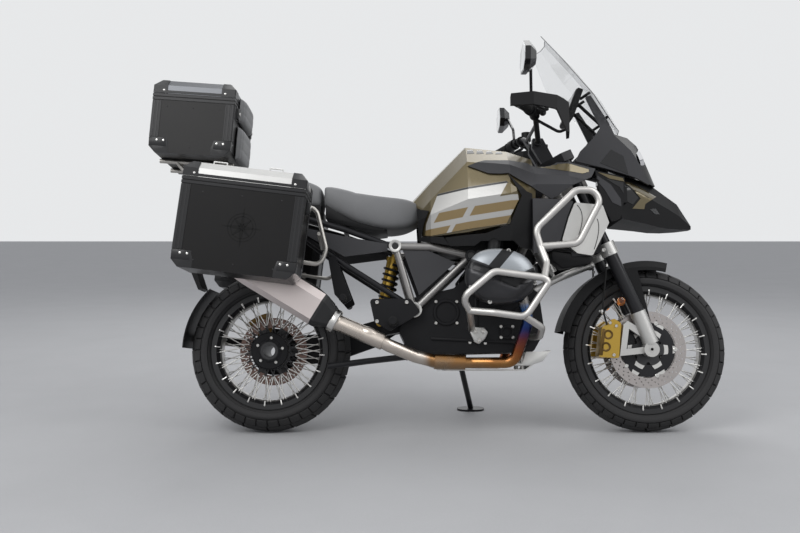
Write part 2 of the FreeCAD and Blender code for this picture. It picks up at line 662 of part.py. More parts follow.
def rear_frame():
    """The bolted-on seat frame in black tube."""
    y = RAIL_Y
    upper = [(FRAME_REAR[0], y, FRAME_REAR[1])] + [(x, RAIL_Y * k, z) for x, z, k in RAIL_LINE]
    lower = [(552, y, 500), (300, y, 660), (0, y * 0.96, 877)]
    rail = joined([pipe(upper, RAIL_R, 60), pipe(lower, RAIL_R, 40)])
    cross = [rod((x, -y * k, z), (x, y * k, z), 9) for x, z, k in RAIL_LINE]
    whole = joined([rail, mirrored(rail)] + cross)
    seat = rod((FRAME_REAR[0], -200, FRAME_REAR[1]), (FRAME_REAR[0], 200, FRAME_REAR[1]), FRAME_R + GAP)
    return less(whole, seat, engine_room(-GAP, GAP))


def swing_arm():
    """The single-sided shaft-drive arm on the left with its final drive."""
    z = REAR_AXLE_Z
    bore = HOLLOW_AXLE_R + GAP
    drive = turned([(bore, DRIVE_IN), (62, DRIVE_IN), (DRIVE_R, 98), (DRIVE_R, 140), (70, 152),
                    (bore, 152)], 0, z)
    arm = slab([(20, z - 60), (40, z + 62), (240, z + 78), (420, z + 130), (520, z + 172),
                (520, z + 84), (420, z + 20), (240, z - 44)], 96, 146, 20)
    yoke = slab([(YOKE_LOW[0], YOKE_LOW[1]), (YOKE_HIGH[0], YOKE_HIGH[1]), (570, YOKE_HIGH[1]), (570, 405)],
                -60, FRAME_Y - 16 - GAP, 8)
    arm = less(arm, rod((0, 0, z), (0, 300, z), 80))
    return less(joined([drive, arm, yoke]), engine_room(-GAP, GAP))


def rear_shock():
    """The spring strut from the swing arm's yoke up to the frame's rear cross tube."""
    eye_r = 16.0
    low_x = YOKE_LOW[0] + (YOKE_HIGH[0] - YOKE_LOW[0]) * 0.53
    low_z = YOKE_LOW[1] + (YOKE_HIGH[1] - YOKE_LOW[1]) * 0.53
    face = vec(YOKE_HIGH[0] - YOKE_LOW[0], 0, YOKE_HIGH[1] - YOKE_LOW[1]).normalize()
    low = vec(low_x, 0, low_z) + vec(-face.z, 0, face.x) * (eye_r + GAP)
    high = vec(FRAME_REAR[0], 0, FRAME_REAR[1])
    run = (high - low).Length - FRAME_R - GAP
    u = (high - low).normalize()

    def at(distance):
        return tuple(low + u * distance)
    eye = rod((low.x, -16, low.z), (low.x, 16, low.z), eye_r)
    return joined([eye, rod(at(0), at(run), 11), rod(at(64), at(80), 30), rod(at(80), at(run - 30), 26),
                   rod(at(run - 30), at(run - 14), 30)])


def telelever():
    """The leading arm from the crankcase to the ball under the lower bridge, and its spring strut."""
    tip = steer(BALL_AT, 0, 0)
    made = [Part.makeSphere(BALL_R, vec(*tip)), rod((1150, -92, 610), (1150, 92, 610), 12)]
    for s in (-1, 1):
        made.append(pipe([(1040, s * 104, 552), (1170, s * 84, 620), (tip[0] - 12, s * 8, tip[2] - 4)], 14, 60))
    low, high = vec(1150, 0, 610), vec(STRUT_TOP[0], 0, STRUT_TOP[1])
    run = (high - low).Length - STRUT_SEAT_R - GAP
    u = (high - low).normalize()
    made.append(rod(tuple(low), tuple(low + u * run), 11))
    made.append(rod(tuple(low + u * 30), tuple(low + u * (run - 20)), 26))
    return less(joined(made), engine_room(GAP, GAP))


def exhaust_pipes():
    """Header pipes from both heads that sweep under the engine to the right and back."""
    z = CRANK_Z - 182
    made = []
    for s, inner, cross in ((1, 150, (760, -90)), (-1, 190, (800, -165))):
        made.append(pipe([(HEAD_X + 84, s * 256, HEAD_Z - 60), (HEAD_X + 110, s * 252, HEAD_Z - 160),
                          (HEAD_X + 60, s * 200, z), (HEAD_X - 20, s * inner, z), (cross[0], cross[1], z),
                          (690, -165, z)], 21, 50))
    made.append(rod((770, -165, z + 2), (650, -172, z + 4), 29))
    inlet, u, _ = silencer_axes()
    made.append(pipe([(660, -172, z + 4), (580, -192, z + 24), (476, -226, 338), (400, -226, 384),
                      tuple(inlet - u * 60), tuple(inlet)], 25, 50))
    made.append(rod((456, -226, 350), tuple(inlet - u * 16), LINK_R))
    ports = [slab(head_outline(0.945), s * 250 - 150, s * 250 + 150, 24) for s in (-1, 1)]
    return less(joined(made), *ports)


def silencer_axes():
    """The silencer's inlet, the way it runs and the way across it."""
    a = vec(SILENCER_IN[0], -SILENCER_Y, SILENCER_IN[1])
    b = vec(SILENCER_OUT[0], -SILENCER_Y, SILENCER_OUT[1])
    u = (b - a).normalize()
    return a, u, vec(u.z, 0, -u.x)


def silencer():
    """The angled silencer on the right, narrower at both ends."""
    a, u, w = silencer_axes()
    ring = [(-64, -36), (-64, 36), (-44, 60), (40, 60), (70, 40), (70, -40), (40, -60), (-44, -60)]

    def section(distance, scale):
        c = a + u * distance
        return [tuple(c + w * (p * scale) + vec(0, q * scale, 0)) for p, q in ring]
    return skin([section(GAP, 0.5), section(60, 0.98), section(360, 1.0), section(500, 0.86)])


def skid_plate():
    """The pressed aluminium guard under the engine on its four posts."""
    z = CRANK_Z - 212
    outline = [(640, z + 16), (700, z), (1010, z), (1110, z + 76), (1106, z + 80), (1008, z + 5),
               (700, z + 5), (640, z + 21)]
    posts = [rod((x, y, z + 2), (x, y, z + 90), 9) for x in (680, 1000) for y in (-104, 104)]
    return less(joined([slab(outline, -130, 130)] + posts), engine_room(0, -GAP))


def footrests():
    """Rider and passenger footrests on their hangers."""
    y = FRAME_Y + 16 + GAP
    peg = rod((492, -y, 428), (492, -300, 428), 13)
    plate = slab([(400, 520), (560, 520), (600, 470), (560, 440), (480, 395), (420, 430)], -y - 12, -y, 14)
    boss = rod((492, -y, 428), (492, -y - 20, 428), 18)
    in_y = RAIL_Y + RAIL_R + GAP
    rear = slab([(236, 680), (262, 700), (330, 520), (300, 500), (262, 540)], -in_y - 12, -in_y, 8)
    rear_peg = rod((300, -in_y, 520), (300, -250, 520), 11)
    return group(both(joined([peg, plate, boss])) + both(joined([rear, rear_peg])))


def air_box():
    """The intake box under the tank with a tube to each cylinder head."""
    top = FRAME_FRONT[1] + FRAME_R + GAP
    box = slab([(650, top), (650, 759), (782, 768), (930, 794), (930, top)], -100, 100)
    tubes = [pipe([(884, s * 90, 742), (884, s * 236, 742), (868, s * 252, 660)], 24, 60) for s in (-1, 1)]
    ports = [slab(head_outline(0.945), s * 250 - 150, s * 250 + 150, 24) for s in (-1, 1)]
    return less(joined([box] + tubes), *ports)


# Bodywork

def seat_seam(away):
    """The side-view line where the tank meets the seat, opened to the rear or to the front."""
    line = [(606, 700), (606, 878), (566, 908), (556, 980)]
    far = 300 if away < 0 else 1200
    return [(x - away * GAP / 2, z) for x, z in line] + [(far, 980), (far, 700)]


def body_section(x, half, low, high, top_half, waist, grow=0.0):
    """A closed outline across the tank or its wings, with the flanks moved out by a set amount."""
    right = [(-30, low), (-half * 0.92 - grow, low + 6), (-half - grow, waist),
             (-half * 0.86 - grow, high - 92), (-top_half, high - 14), (-top_half * 0.5, high)]
    ring = right + [(-y, z) for y, z in reversed(right)]
    return [(x, y, z) for y, z in ring]


def tank_body(grow=0.0):
    """The tank's full shape, with its flanks moved out by a set amount."""
    return skin([body_section(*row, grow) for row in TANK_ROWS])


def wing_body(grow):
    """The tank's shape carried on towards the lamp."""
    return skin([body_section(*row, grow) for row in TANK_ROWS + WING_ROWS])


def trim_body(grow):
    """The tank's shape carried down to the trim's lower edge."""
    return skin([body_section(x, half, TRIM_LOW, high, top_half, waist, grow)
                 for x, half, low, high, top_half, waist in TANK_ROWS])


def tank():
    """The large tank, with a waist at the seat, a flat top and room for the steering at the front."""
    steering = rod(steer(HEAD_HIGH - 60, 0, 0), steer(FORK_TOP + 120, 0, 0), STEER_ROOM)
    return less(tank_body(), slab(seat_seam(-1), -300, 300), steering)


def tank_panels():
    """Painted side panels over the tank's flanks."""
    outline = [(642, 866), (622, 814), (619, 772), (640, 768), (928, 804), (976, 896), (966, 944), (905, 984),
               (782, 1010), (676, 955)]
    shell = tank_body(PANEL_T).cut(tank_body(GAP))
    return group(both(shell.common(slab(outline, 60, 400))))


def tank_trim():
    """Dark trim round the lower edge of each side panel, with an arch over the intake."""
    front = [(937, 998), (1007, 930), (1030, 922), (1030, 705), (979, 714), (955, 738), (830, 738), (806, 720),
             (714, 723), (694, 757), (848, 767), (939, 800), (988, 912)]
    rear = [(586, 885), (632, 868), (612, 816), (604, 766), (688, 760), (712, 726), (594, 752)]
    shell = trim_body(PANEL_T).cut(trim_body(GAP)).cut(tank_body(GAP))
    intake = air_box()
    room = [intake] + [shifted(intake, x, 0, z) for x, z in ((1, 0), (-1, 0), (0, 1), (0, -1))]
    made = []
    for outline in (front, rear):
        made += both(less(shell.common(slab(outline, 60, 400)), *room))
    return group(made)


def seat_body(sections):
    return skin([[(x, -w, low), (x, -w, high - 26), (x, -w * 0.72, high), (x, w * 0.72, high),
                  (x, w, high - 26), (x, w, low)] for x, w, low, high in sections])


def rider_seat():
    """The rider's seat on its base pan, which rests on the rails."""
    cushion = seat_body([(214, 128, 892, 984), (300, 140, 846, 962), (440, 148, 800, 936),
                         (540, 116, 806, 930), (604, 80, 838, 912)])
    pan = slab([(216, 900), (216, rail_top(216)), (300, rail_top(300)), (420, 800), (300, 860)], -116, 116)
    return less(joined([cushion, pan]), slab(seat_seam(1), -300, 300))


def rail_top(x):
    """The height that clears the seat frame's rails at a place along the bike."""
    rows = [(FRAME_REAR[0], FRAME_REAR[1])] + [(row[0], row[1]) for row in RAIL_LINE]
    for (x1, z1), (x2, z2) in zip(rows, rows[1:]):
        if x2 <= x <= x1:
            slope = math.hypot(x1 - x2, z2 - z1) / (x1 - x2)
            return z1 + (z2 - z1) * (x1 - x) / (x1 - x2) + RAIL_R * slope + GAP
    return rows[-1][1] + RAIL_R + GAP


def pillion_seat():
    """The passenger's seat on its base pan."""
    cushion = seat_body([(-120, 118, 908, 1014), (40, 132, 900, 1014), (130, 128, 894, 1008),
                         (208, 124, 892, 976)])
    pan = slab([(-118, 914), (-118, rail_top(-118)), (60, rail_top(60)), (206, rail_top(206)), (206, 898),
                (60, 906)], -112, 112)
    return joined([cushion, pan])


def beak():
    """The pointed nose over the front wheel, with a plate beside each fork leg."""
    def section(ahead, half, low, high, ridge, waist, rake=0.0):
        x = WHEELBASE + ahead
        slope = rake / (high - low)
        right = [(x + rake, -half * 0.9, low), (x + rake - (waist - low) * slope, -half, waist),
                 (x, -ridge, high)]
        return right + [(px, -py, pz) for px, py, pz in reversed(right)]
    seat = [(row[0], row[1] - GAP) for row in LAMP_ROWS]
    nose = skin([section(-150, 150, 842, seat[0][1], 112, 980, 46),
                 section(seat[1][0], 134, 836, seat[1][1], 84, 962),
                 section(seat[3][0], 112, 826, seat[3][1], 58, 936),
                 section(seat[4][0], 92, 816, seat[4][1], 38, 912),
                 section(96, 72, 812, 956, 26, 892), section(150, 46, 812, 920, 15, 866),
                 section(203, 20, 816, 838, 7, 828)])
    outline = [(-214, 1030), (-100, 1002), (-96, 940), (-118, 838), (-154, 824), (-190, 894)]
    cheek = slab([(WHEELBASE + a, z) for a, z in outline], CHEEK_Y, CHEEK_Y + 10)
    foot = ((-104, 960), (-104, 900), (-90, 900), (-90, 960))
    lug = slab([(WHEELBASE + a, z) for a, z in foot], 110, CHEEK_Y + 10)
    return joined([nose] + both(cheek) + both(lug))


def headlight():
    """The lamp unit, carried by the frame's nose."""
    def section(ahead, low, high, wide, narrow):
        x = WHEELBASE + ahead
        return [(x, -wide, low), (x, -narrow, high), (x, narrow, high), (x, wide, low)]
    back_x = WHEELBASE + LAMP_ROWS[0][0]
    tongue_x = steer(740, 0, 130)[0] + 2
    tongue = slab([(tongue_x, 1030), (back_x + 2, 1030), (back_x + 2, 1080), (tongue_x, 1080)], -18, 18)
    nose = skin([[steer(at, side, f) for f, side in ((0, -60), (0, 60), (130 + GAP, 60), (130 + GAP, -60))]
                 for at in (600, 900)])
    return less(joined([skin([section(*row) for row in LAMP_ROWS]), tongue]), nose)


def radiators():
    """A radiator each side of the fork."""
    outline = [(1092, 712), (1290, 690), (1310, 850), (1132, 866)]
    return group(both(slab(outline, RADIATOR_IN, RADIATOR_OUT, 10)))


def radiator_covers():
    """Silver covers over the radiators."""
    outline = [(1192, 886), (1299, 876), (1322, 807), (1256, 680), (1198, 689), (1140, 738), (1167, 827)]
    return group(both(slab(outline, RADIATOR_OUT + GAP, RADIATOR_OUT + 24, 10)))


def side_shrouds():
    """Wings from the tank's upper edge towards the lamp, and the plates behind the radiators."""
    wing = [(783, 1037), (850, 1062), (953, 1064), (1063, 1064), (1182, 1058), (1290, 1034), (1272, 1000),
            (1165, 945), (1137, 921), (1108, 905), (937, 1003), (905, 1001), (862, 1004)]
    shell = wing_body(PANEL_T).cut([wing_body(GAP), rod(steer(500, 0, 0), steer(900, 0, 0), STEER_SWEEP)])
    plate = slab([(1030 + GAP, 902), (1150, 898), (1186, 890), (1161, 828), (1134, 738), (1100, 700),
                  (1030 + GAP, 690)],
                 RADIATOR_OUT + GAP, RADIATOR_OUT + 24)
    return group(both(shell.common(slab(wing, 60, 400))) + both(less(plate, tank_body(2 * GAP))))


def windscreen():
    """The tall clear screen on its bracket."""
    def section(z, x, half, bow):
        outer = [(x - bow, -half, z), (x - bow * 0.25, -half * 0.5, z), (x, 0, z),
                 (x - bow * 0.25, half * 0.5, z), (x - bow, half, z)]
        return outer + [(px - 4, py, pz) for px, py, pz in reversed(outer)]
    return skin([section(1216, 1424, 130, 40), section(1330, 1352, 201, 66), section(1470, 1240, 211, 76),
                 section(1596, 1128, 120, 34)])


def instrument():
    """The display ahead of the bars on two stays that also hold the screen."""
    panel = slab([(1198, 1270), (1243, 1390), (1266, 1382), (1222, 1262)], -96, 96, 6)
    made = [panel]
    for s in (-1, 1):
        y = s * 64
        made.append(pipe([(1372, y, 1160), (1340, y, 1240), (1246, y, 1330)], 7, 30))
        made.append(rod((1330, y, 1250), (1390, y, 1290), 6))
        made.append(rod((1258, y, 1350), (1330, y, 1400), 6))
    screen = windscreen()
    lamp = [shifted(headlight(), 0, 0, GAP), headlight()]
    return less(joined(made), screen, shifted(screen, -GAP), shifted(screen, 12), shifted(screen, 24),
                shifted(screen, 40), *lamp)


def cockpit_panels():
    """The side panels beside the lamp, each with a deflector blade behind the screen."""
    outline = [(-284, 1075), (-263, 1116), (-213, 1166), (-180, 1214), (-238, 1339), (-217, 1347), (-148, 1236),
               (-123, 1179), (-60, 1117), (-36, 1079), (18, 972), (-46, 1009), (-164, 1046)]
    plate = slab([(WHEELBASE + a, z) for a, z in outline], COCKPIT_IN, COCKPIT_IN + 12, 5)
    return group(both(plate))


def side_covers():
    """Dark covers in the frame's side triangles and under the seat."""
    tri = slab([(530, 712.2), (630, 710.8), (736, 664), (594, 536)], FRAME_Y - 4, FRAME_Y + 4)
    seat_y = RAIL_Y + RAIL_R + GAP
    rear = slab([(110, 812), (300, 770), (470, 740), (470, 712), (300, 690), (140, 780)], seat_y, seat_y + 8, 6)
    return group(both(tri) + both(rear))


def rear_fender():
    """The tail with its lamp and plate carrier, and the spray guard that the final drive carries."""
    half = RAIL_Y - RAIL_R - 15
    tail = skin([[(-130, -half, 850), (-130, -half, 900), (-130, half, 900), (-130, half, 850)],
                 [(-330, -60, 800), (-330, -60, 880), (-330, 60, 880), (-330, 60, 800)]])
    carrier = slab([(-328, 812), (-322, 640), (-290, 566), (-276, 572), (-300, 640), (-304, 812)], -65, 65)
    lamp = slab([(-352, 828), (-326, 822), (-326, 876), (-346, 872)], -52, 52)
    arm = rod((-314, 60, 764), (-314, 120, 764), 7)
    pod = slab([(-342, 746), (-294, 750), (-290, 776), (-338, 780)], 112, 152, 8)
    z = REAR_AXLE_Z
    r = REAR_TYRE_R + 16
    guard = turned([(r, -100), (r + 4, -100), (r + 4, 100), (r, 100)], 0, z)
    wedge = slab([(0, z)] + [(600 * math.cos(math.radians(a)), z + 600 * math.sin(math.radians(a)))
                             for a in (134, 155, 178)], -200, 200)
    stay = slab([(-70, z + 10), (-60, z + 50), (-r - 1, z + 70), (-r - 3, z + 40)], 98, 104)
    stay = less(stay, rod((0, 0, z), (0, 200, z), DRIVE_R + GAP))
    whole = joined([tail, carrier, lamp] + both(arm) + both(pod))
    return group([less(whole, rail_room()), joined([guard.common(wedge), stay])])


def rear_caliper():
    """The rear caliper, fixed to the final drive's face and bridging the disc's edge."""
    z, edge = REAR_AXLE_Z, REAR_DISC_R + MOVE_GAP
    face = REAR_DISC_Y + DISC_T / 2 + MOVE_GAP
    ring = turned([(58, face + 8), (104, face + 8), (104, face), (edge, face), (edge, face - 10),
                   (edge + 16, face - 10), (edge + 16, DRIVE_IN - GAP), (58, DRIVE_IN - GAP)], 0, z)
    wedge = slab([(0, z)] + [(400 * math.cos(math.radians(a)), z + 400 * math.sin(math.radians(a)))
                             for a in (96, 116, 136)], 0, 200)
    return ring.common(wedge)


def rail_room():
    """The seat frame's outer rails with a seating gap."""
    y = RAIL_Y
    line = [(x, y * k, z) for x, z, k in RAIL_LINE]
    return group(both(pipe(line, RAIL_R + GAP, 60)))


def case_point(across, up, tilt, corner):
    """A side-view point of a tilted case, from its lower rear corner."""
    a = math.radians(-tilt)
    return (corner[0] + across * math.cos(a) - up * math.sin(a),
            corner[1] + across * math.sin(a) + up * math.cos(a))


SIDE_CORNER = (-300.0, 613.0)
TOP_CORNER = (-470.0, 1096.0)


def hinge_rod(start, end, radius, height, tilt, corner):
    """A round bar on a lid's hinge line, from one Y to another."""
    x, z = case_point(-HINGE_OUT, height, tilt, corner)
    return rod((x, start, z), (x, end, z), radius)


def hinge_leaf(start, end, low, high, tilt, corner):
    """A flat leaf from the hinge line to the case's rear wall."""
    pts = [(-HINGE_OUT, low), (0.5, low), (0.5, high), (-HINGE_OUT, high)]
    return slab([case_point(a, b, tilt, corner) for a, b in pts], start, end)


def case_body(length, height, tilt, corner, low, high):
    """An open metal box with cut lower corners and the fixed half of its lid's hinge."""
    c = CASE_CORNER

    def ring(inset, top):
        pts = [(inset + c, inset), (length - inset - c, inset), (length - inset, inset + c),
               (length - inset, top), (inset, top), (inset, inset + c)]
        return [case_point(a, b, tilt, corner) for a, b in pts]
    shell = slab(ring(0, height), low, high).cut(slab(ring(WALL, height + 1), low + WALL, high - WALL))
    middle = (low + high) / 2
    made = [shell, hinge_rod(middle - 1.5 * KNUCKLE, middle + 1.5 * KNUCKLE, HINGE_PIN_R, height, tilt, corner)]
    for start, end in ((middle - 1.5 * KNUCKLE, middle - KNUCKLE / 2 - GAP),
                       (middle + KNUCKLE / 2 + GAP, middle + 1.5 * KNUCKLE)):
        made.append(hinge_rod(start, end, HINGE_R, height, tilt, corner))
        made.append(hinge_leaf(start, end, height - 18, height - 2, tilt, corner))
    return joined(made)


def case_lid(length, height, tilt, corner, low, high):
    """A shallow lid with sloping edges and the moving half of its hinge."""
    c = CASE_CORNER
    base = height + GAP

    def level(up, inset, side):
        pts = [(inset, low + side), (length - inset, low + side), (length - inset, high - side),
               (inset, high - side)]
        made = []
        for a, y in pts:
            px, pz = case_point(a, base + up, tilt, corner)
            made.append((px, y, pz))
        return made
    outer = skin([level(0, 0, 0), level(LID_H - c, 0, 0), level(LID_H, c, c)])
    inner = skin([level(-1, WALL, WALL), level(LID_H - c - WALL * 0.4, WALL, WALL),
                  level(LID_H - WALL, c + WALL * 0.6, c + WALL * 0.6)])
    middle = (low + high) / 2
    start, end = middle - KNUCKLE / 2, middle + KNUCKLE / 2
    knuckle = hinge_rod(start, end, HINGE_R, height, tilt, corner)
    leaf = hinge_leaf(start, end, height + 2, height + 18, tilt, corner)
    bore = hinge_rod(low, high, HINGE_PIN_R + RUN_GAP, height, tilt, corner)
    return joined([outer.cut(inner), knuckle, leaf]).cut(bore)


def side_cases():
    body = case_body(CASE_L, CASE_H, CASE_TILT, SIDE_CORNER, CASE_IN_Y, CASE_IN_Y + CASE_W)
    return group(both(body))


def left_lid():
    return case_lid(CASE_L, CASE_H, CASE_TILT, SIDE_CORNER, CASE_IN_Y, CASE_IN_Y + CASE_W)


def right_lid():
    return mirrored(left_lid())


def top_case():
    return case_body(TOP_L, TOP_H, TOP_TILT, TOP_CORNER, -TOP_W / 2, TOP_W / 2)


def pad(low, high, half):
    """A back pad on the front wall of the top case."""
    across = [(TOP_L + GAP, low), (TOP_L + PAD_T * 0.6, low), (TOP_L + PAD_T, low + 24),
              (TOP_L + PAD_T, high - 20),
              (TOP_L + PAD_T * 0.5, high), (TOP_L + GAP, high)]
    return slab([case_point(a, up, TOP_TILT, TOP_CORNER) for a, up in across], -half, half)


def back_pad():
    return pad(6, 152, 130)


def lid_pad():
    return pad(162, TOP_H + 28, 130)


def top_lid():
    return case_lid(TOP_L, TOP_H, TOP_TILT, TOP_CORNER, -TOP_W / 2, TOP_W / 2)


def luggage_rack():
    """The tail rack under the top case and the tubular side case carriers."""
    y, tail_y, r = -RACK_Y, -90, TAIL_RACK_R
    under = -GAP - r
    rear, middle, front = [case_point(a, under, TOP_TILT, TOP_CORNER) for a in (20, 90, 318)]
    tail = [rod((rear[0], tail_y, rear[1]), (front[0], tail_y, front[1]), r),
            rod((-205, -97, 900), (-205, tail_y, front[1]), r),
            rod((-240, -95, 904), (middle[0], tail_y, middle[1]), r)]
    corners = [(200, y, 858.3), (-180, y, 890), (-180, y, 700), (220, y, 640), (240, y, 700)]
    loop = hoop(corners, RACK_R, 40)
    loop += [rod((60, -110, 870), (60, y, 870), RACK_R), rod((212, -110, 720), (212, y, 760), RACK_R)]
    loop += [rod((x, y, z), (x, GAP - CASE_IN_Y, z), 12) for x, z in ((-100, 883), (120, 863), (100, 658))]
    room = seat_frame_room()
    return group(both(less(joined(tail), room)) + both(less(joined(loop), room)))


def seat_frame_room():
    """The seat frame's tubes with a seating gap."""
    y = RAIL_Y
    lower = [(552, y, 500), (300, y, 660), (0, y * 0.96, 877)]
    ties = [rod((x, -y * k, z), (x, y * k, z), 9 + GAP) for x, z, k in RAIL_LINE]
    return group([rail_room()] + both(pipe(lower, RAIL_R + GAP, 40)) + ties)


# Guards and stands

def crash_bars():
    """Engine and tank guard loops in bright tube on both sides."""
    y, up_y, t = GUARD_Y, UPPER_GUARD_Y, GUARD_R
    low = joined([
        pipe([(800, 120, 400), (790, 250, 420), (775, y - 40, 462), (746, y, 506), (864, y, 604),
              (1046, y, 579), (1062, y, 562), (975, y, 436), (917.5, y, 444)], t, BEND_R),
        pipe([(917.5, y, 444), (860, y, 452), (775, y - 40, 462)], t, BEND_R),
        pipe([(975, y, 436), (1044, 340, 400), (1050, 240, 372), (1030, 120, 372)], t, BEND_R)])
    up = joined([
        pipe([(1046, y, 579), (1064, up_y + 20, 640), (1044, up_y, 705), (1026, up_y, 768),
              (1182, up_y, 919), (1249, up_y, 919), (1272, up_y, 875), (1187, up_y, 715),
              (1115.5, up_y, 710)], t, BEND_R),
        rod((1115.5, up_y, 710), (1044, up_y, 705), t)])
    return group(both(less(joined([low, up]), engine_room())))


STAND_PIVOT = (770.0, 172.0, 290.0)
STAND_AXIS = (0.0, 0.685, 0.728)
STAND_PIN_R = 7.0
STAND_FOOT = (834.0, 428.0)     # on the floor, from the tyres' line
CENTRE_PIVOT = (560.0, 300.0)
CENTRE_Y = 100.0
CENTRE_PIN_R = 6.0


def stand_foot_point(height):
    """The middle of the side stand's foot, at a height above the leaning bike's floor."""
    a = math.radians(LEAN)
    x, y = STAND_FOOT
    return (x, y * math.cos(a) - height * math.sin(a), y * math.sin(a) + height * math.cos(a))


def stand_axis_point(off):
    """A point along the side stand's pivot axis, off millimetres from its middle."""
    x, y, z = STAND_PIVOT
    return (x, y + off * STAND_AXIS[1], z + off * STAND_AXIS[2])


def stand_bracket():
    """The lug with the side stand's pin, and the two lugs with the centre stand's pin."""
    x, _, z = STAND_PIVOT
    arm = slab([(x - 20, z - 42), (x + 20, z - 42), (x + 34, z + 90), (x - 34, z + 90)],
               CASE_SIDE_Y + GAP, CASE_SIDE_Y + 14)
    side = joined([arm, rod(stand_axis_point(-44), stand_axis_point(24), STAND_PIN_R)])
    cx, cz = CENTRE_PIVOT
    ear_y = CENTRE_Y + 14 + GAP
    ear = slab([(cx - 16, cz - 14), (cx + 16, cz - 14), (cx + 26, cz + 60), (cx - 26, cz + 60)], ear_y, ear_y + 8)
    ear = less(ear, engine_room(0, -GAP))
    return group([side, joined(both(ear) + [rod((cx, -ear_y - 6, cz), (cx, ear_y + 6, cz), CENTRE_PIN_R)])])


def side_stand():
    """The leg with its oval foot flat on the floor."""
    foot = joined([Part.makeCylinder(40, 8), Part.makeCylinder(40, 8, vec(-40, 0, 0)),
                   Part.makeBox(40, 80, 8, vec(-40, -40, 0))])
    x, y, z = stand_foot_point(0)
    foot.Placement = FreeCAD.Placement(vec(x + 20, y, z), FreeCAD.Rotation(vec(1, 0, 0), LEAN))
    leg = rod(STAND_PIVOT, stand_foot_point(10), 12)
    eye = rod(stand_axis_point(-14), stand_axis_point(14), 21)
    return less(joined([foot, leg, eye]), rod(stand_axis_point(-60), stand_axis_point(60), STAND_PIN_R + RUN_GAP))


def centre_stand():
    """The folded double stand behind the engine."""
    x, z = CENTRE_PIVOT
    bore, wall, half = CENTRE_PIN_R + RUN_GAP, 13.0, CENTRE_Y + 14
    made = [turned([(bore, -half), (wall, -half), (wall, half), (bore, half)], x, z)]
    for s in (-1, 1):
        made.append(pipe([(x - 9, s * CENTRE_Y, z - 1), (x - 180, s * CENTRE_Y, z - 20),
                          (x - 325, s * (CENTRE_Y + 20), z - 40)], 11, 60))
    made.append(rod((x - 110, -CENTRE_Y, z - 12), (x - 110, CENTRE_Y, z - 12), 9))
    return joined(made)


NODES = {
    "front_tyre": lambda: tyre(WHEELBASE, FRONT_AXLE_Z, FRONT_TYRE_R, FRONT_TYRE_W, FRONT_CROWN_R,
                               FRONT_SEAT_R, FRONT_RIM_W),
    "front_wheel": front_wheel,
    "front_discs": front_discs,
    "rear_tyre": lambda: tyre(0.0, REAR_AXLE_Z, REAR_TYRE_R, REAR_TYRE_W, REAR_CROWN_R,
                              REAR_SEAT_R, REAR_RIM_W),
    "rear_wheel": rear_wheel,
    "rear_disc": rear_disc,
    "fork_tubes": fork_tubes,
    "fork_castings": fork_castings,
    "top_bridge": top_bridge,
    "handlebar": handlebar,
    "controls": controls,
    "hand_guards": hand_guards,
    "mirrors": mirrors,
    "front_calipers": front_calipers,
    "front_fender": front_fender,
    "engine_case": engine_case,
    "cylinders": cylinders,
    "head_covers": head_covers,
    "main_frame": main_frame,
    "rear_frame": rear_frame,
    "swing_arm": swing_arm,
    "rear_shock": rear_shock,
    "telelever": telelever,
    "exhaust_pipes": exhaust_pipes,
    "silencer": silencer,
    "skid_plate": skid_plate,
    "stand_bracket": stand_bracket,
    "footrests": footrests,
    "air_box": air_box,
    "tank": tank,
    "tank_panels": tank_panels,
    "tank_trim": tank_trim,
    "rider_seat": rider_seat,
    "pillion_seat": pillion_seat,
    "beak": beak,
    "headlight": headlight,
    "radiators": radiators,
    "radiator_covers": radiator_covers,
    "side_shrouds": side_shrouds,
    "windscreen": windscreen,
    "instrument": instrument,
    "cockpit_panels": cockpit_panels,
    "side_covers": side_covers,
    "rear_fender": rear_fender,
    "rear_caliper": rear_caliper,
    "side_cases": side_cases,
    "top_case": top_case,
    "left_lid": left_lid,
    "right_lid": right_lid,
    "top_lid": top_lid,
    "back_pad": back_pad,
    "lid_pad": lid_pad,
    "luggage_rack": luggage_rack,
    "crash_bars": crash_bars,
    "side_stand": side_stand,
    "centre_stand": centre_stand,
}


def parked(shape):
    """The shape leant onto the stand, with the footprint's middle at the origin."""
    done = shape.copy()
    turn = FreeCAD.Rotation(vec(1, 0, 0), -LEAN)
    done.Placement = FreeCAD.Placement(vec(-ORIGIN_X, -ORIGIN_Y, 0), turn).multiply(done.Placement)
    return done


def main():
    os.makedirs("parts", exist_ok=True)
    for name, make in NODES.items():
        parked(make()).exportStep(f"parts/{name}.step")


main()
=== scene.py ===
"""Finish of an adventure motorcycle with three cases: its paint, rubber, metal and small parts.

Every piece is modelled in the bike's own upright frame, in metres: X runs forward from the rear
axle, Y to the rider's left and Z up from the line under both tyres. A finished piece is then leant
onto the side stand, as the frame's own nodes are.
"""
import math

import bpy
from bpy.props import FloatProperty, FloatVectorProperty, IntProperty, PointerProperty
from mathutils import Matrix, Vector


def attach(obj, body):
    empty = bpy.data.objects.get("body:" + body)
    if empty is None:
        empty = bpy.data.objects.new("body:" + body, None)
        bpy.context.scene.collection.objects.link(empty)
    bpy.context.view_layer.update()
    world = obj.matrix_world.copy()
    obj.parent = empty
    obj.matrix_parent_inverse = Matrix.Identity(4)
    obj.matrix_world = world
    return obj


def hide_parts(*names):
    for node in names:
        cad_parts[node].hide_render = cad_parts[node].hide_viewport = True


bl_info = {
    "name": "Adventure Motorcycle Finish",
    "version": (1, 0, 0),
    "blender": (4, 5, 0),
    "location": "3D View > Sidebar > Motorcycle",
    "description": "Dresses a parked adventure motorcycle with tyres, paint, seats, cases and fittings",
    "category": "Add Mesh",
}

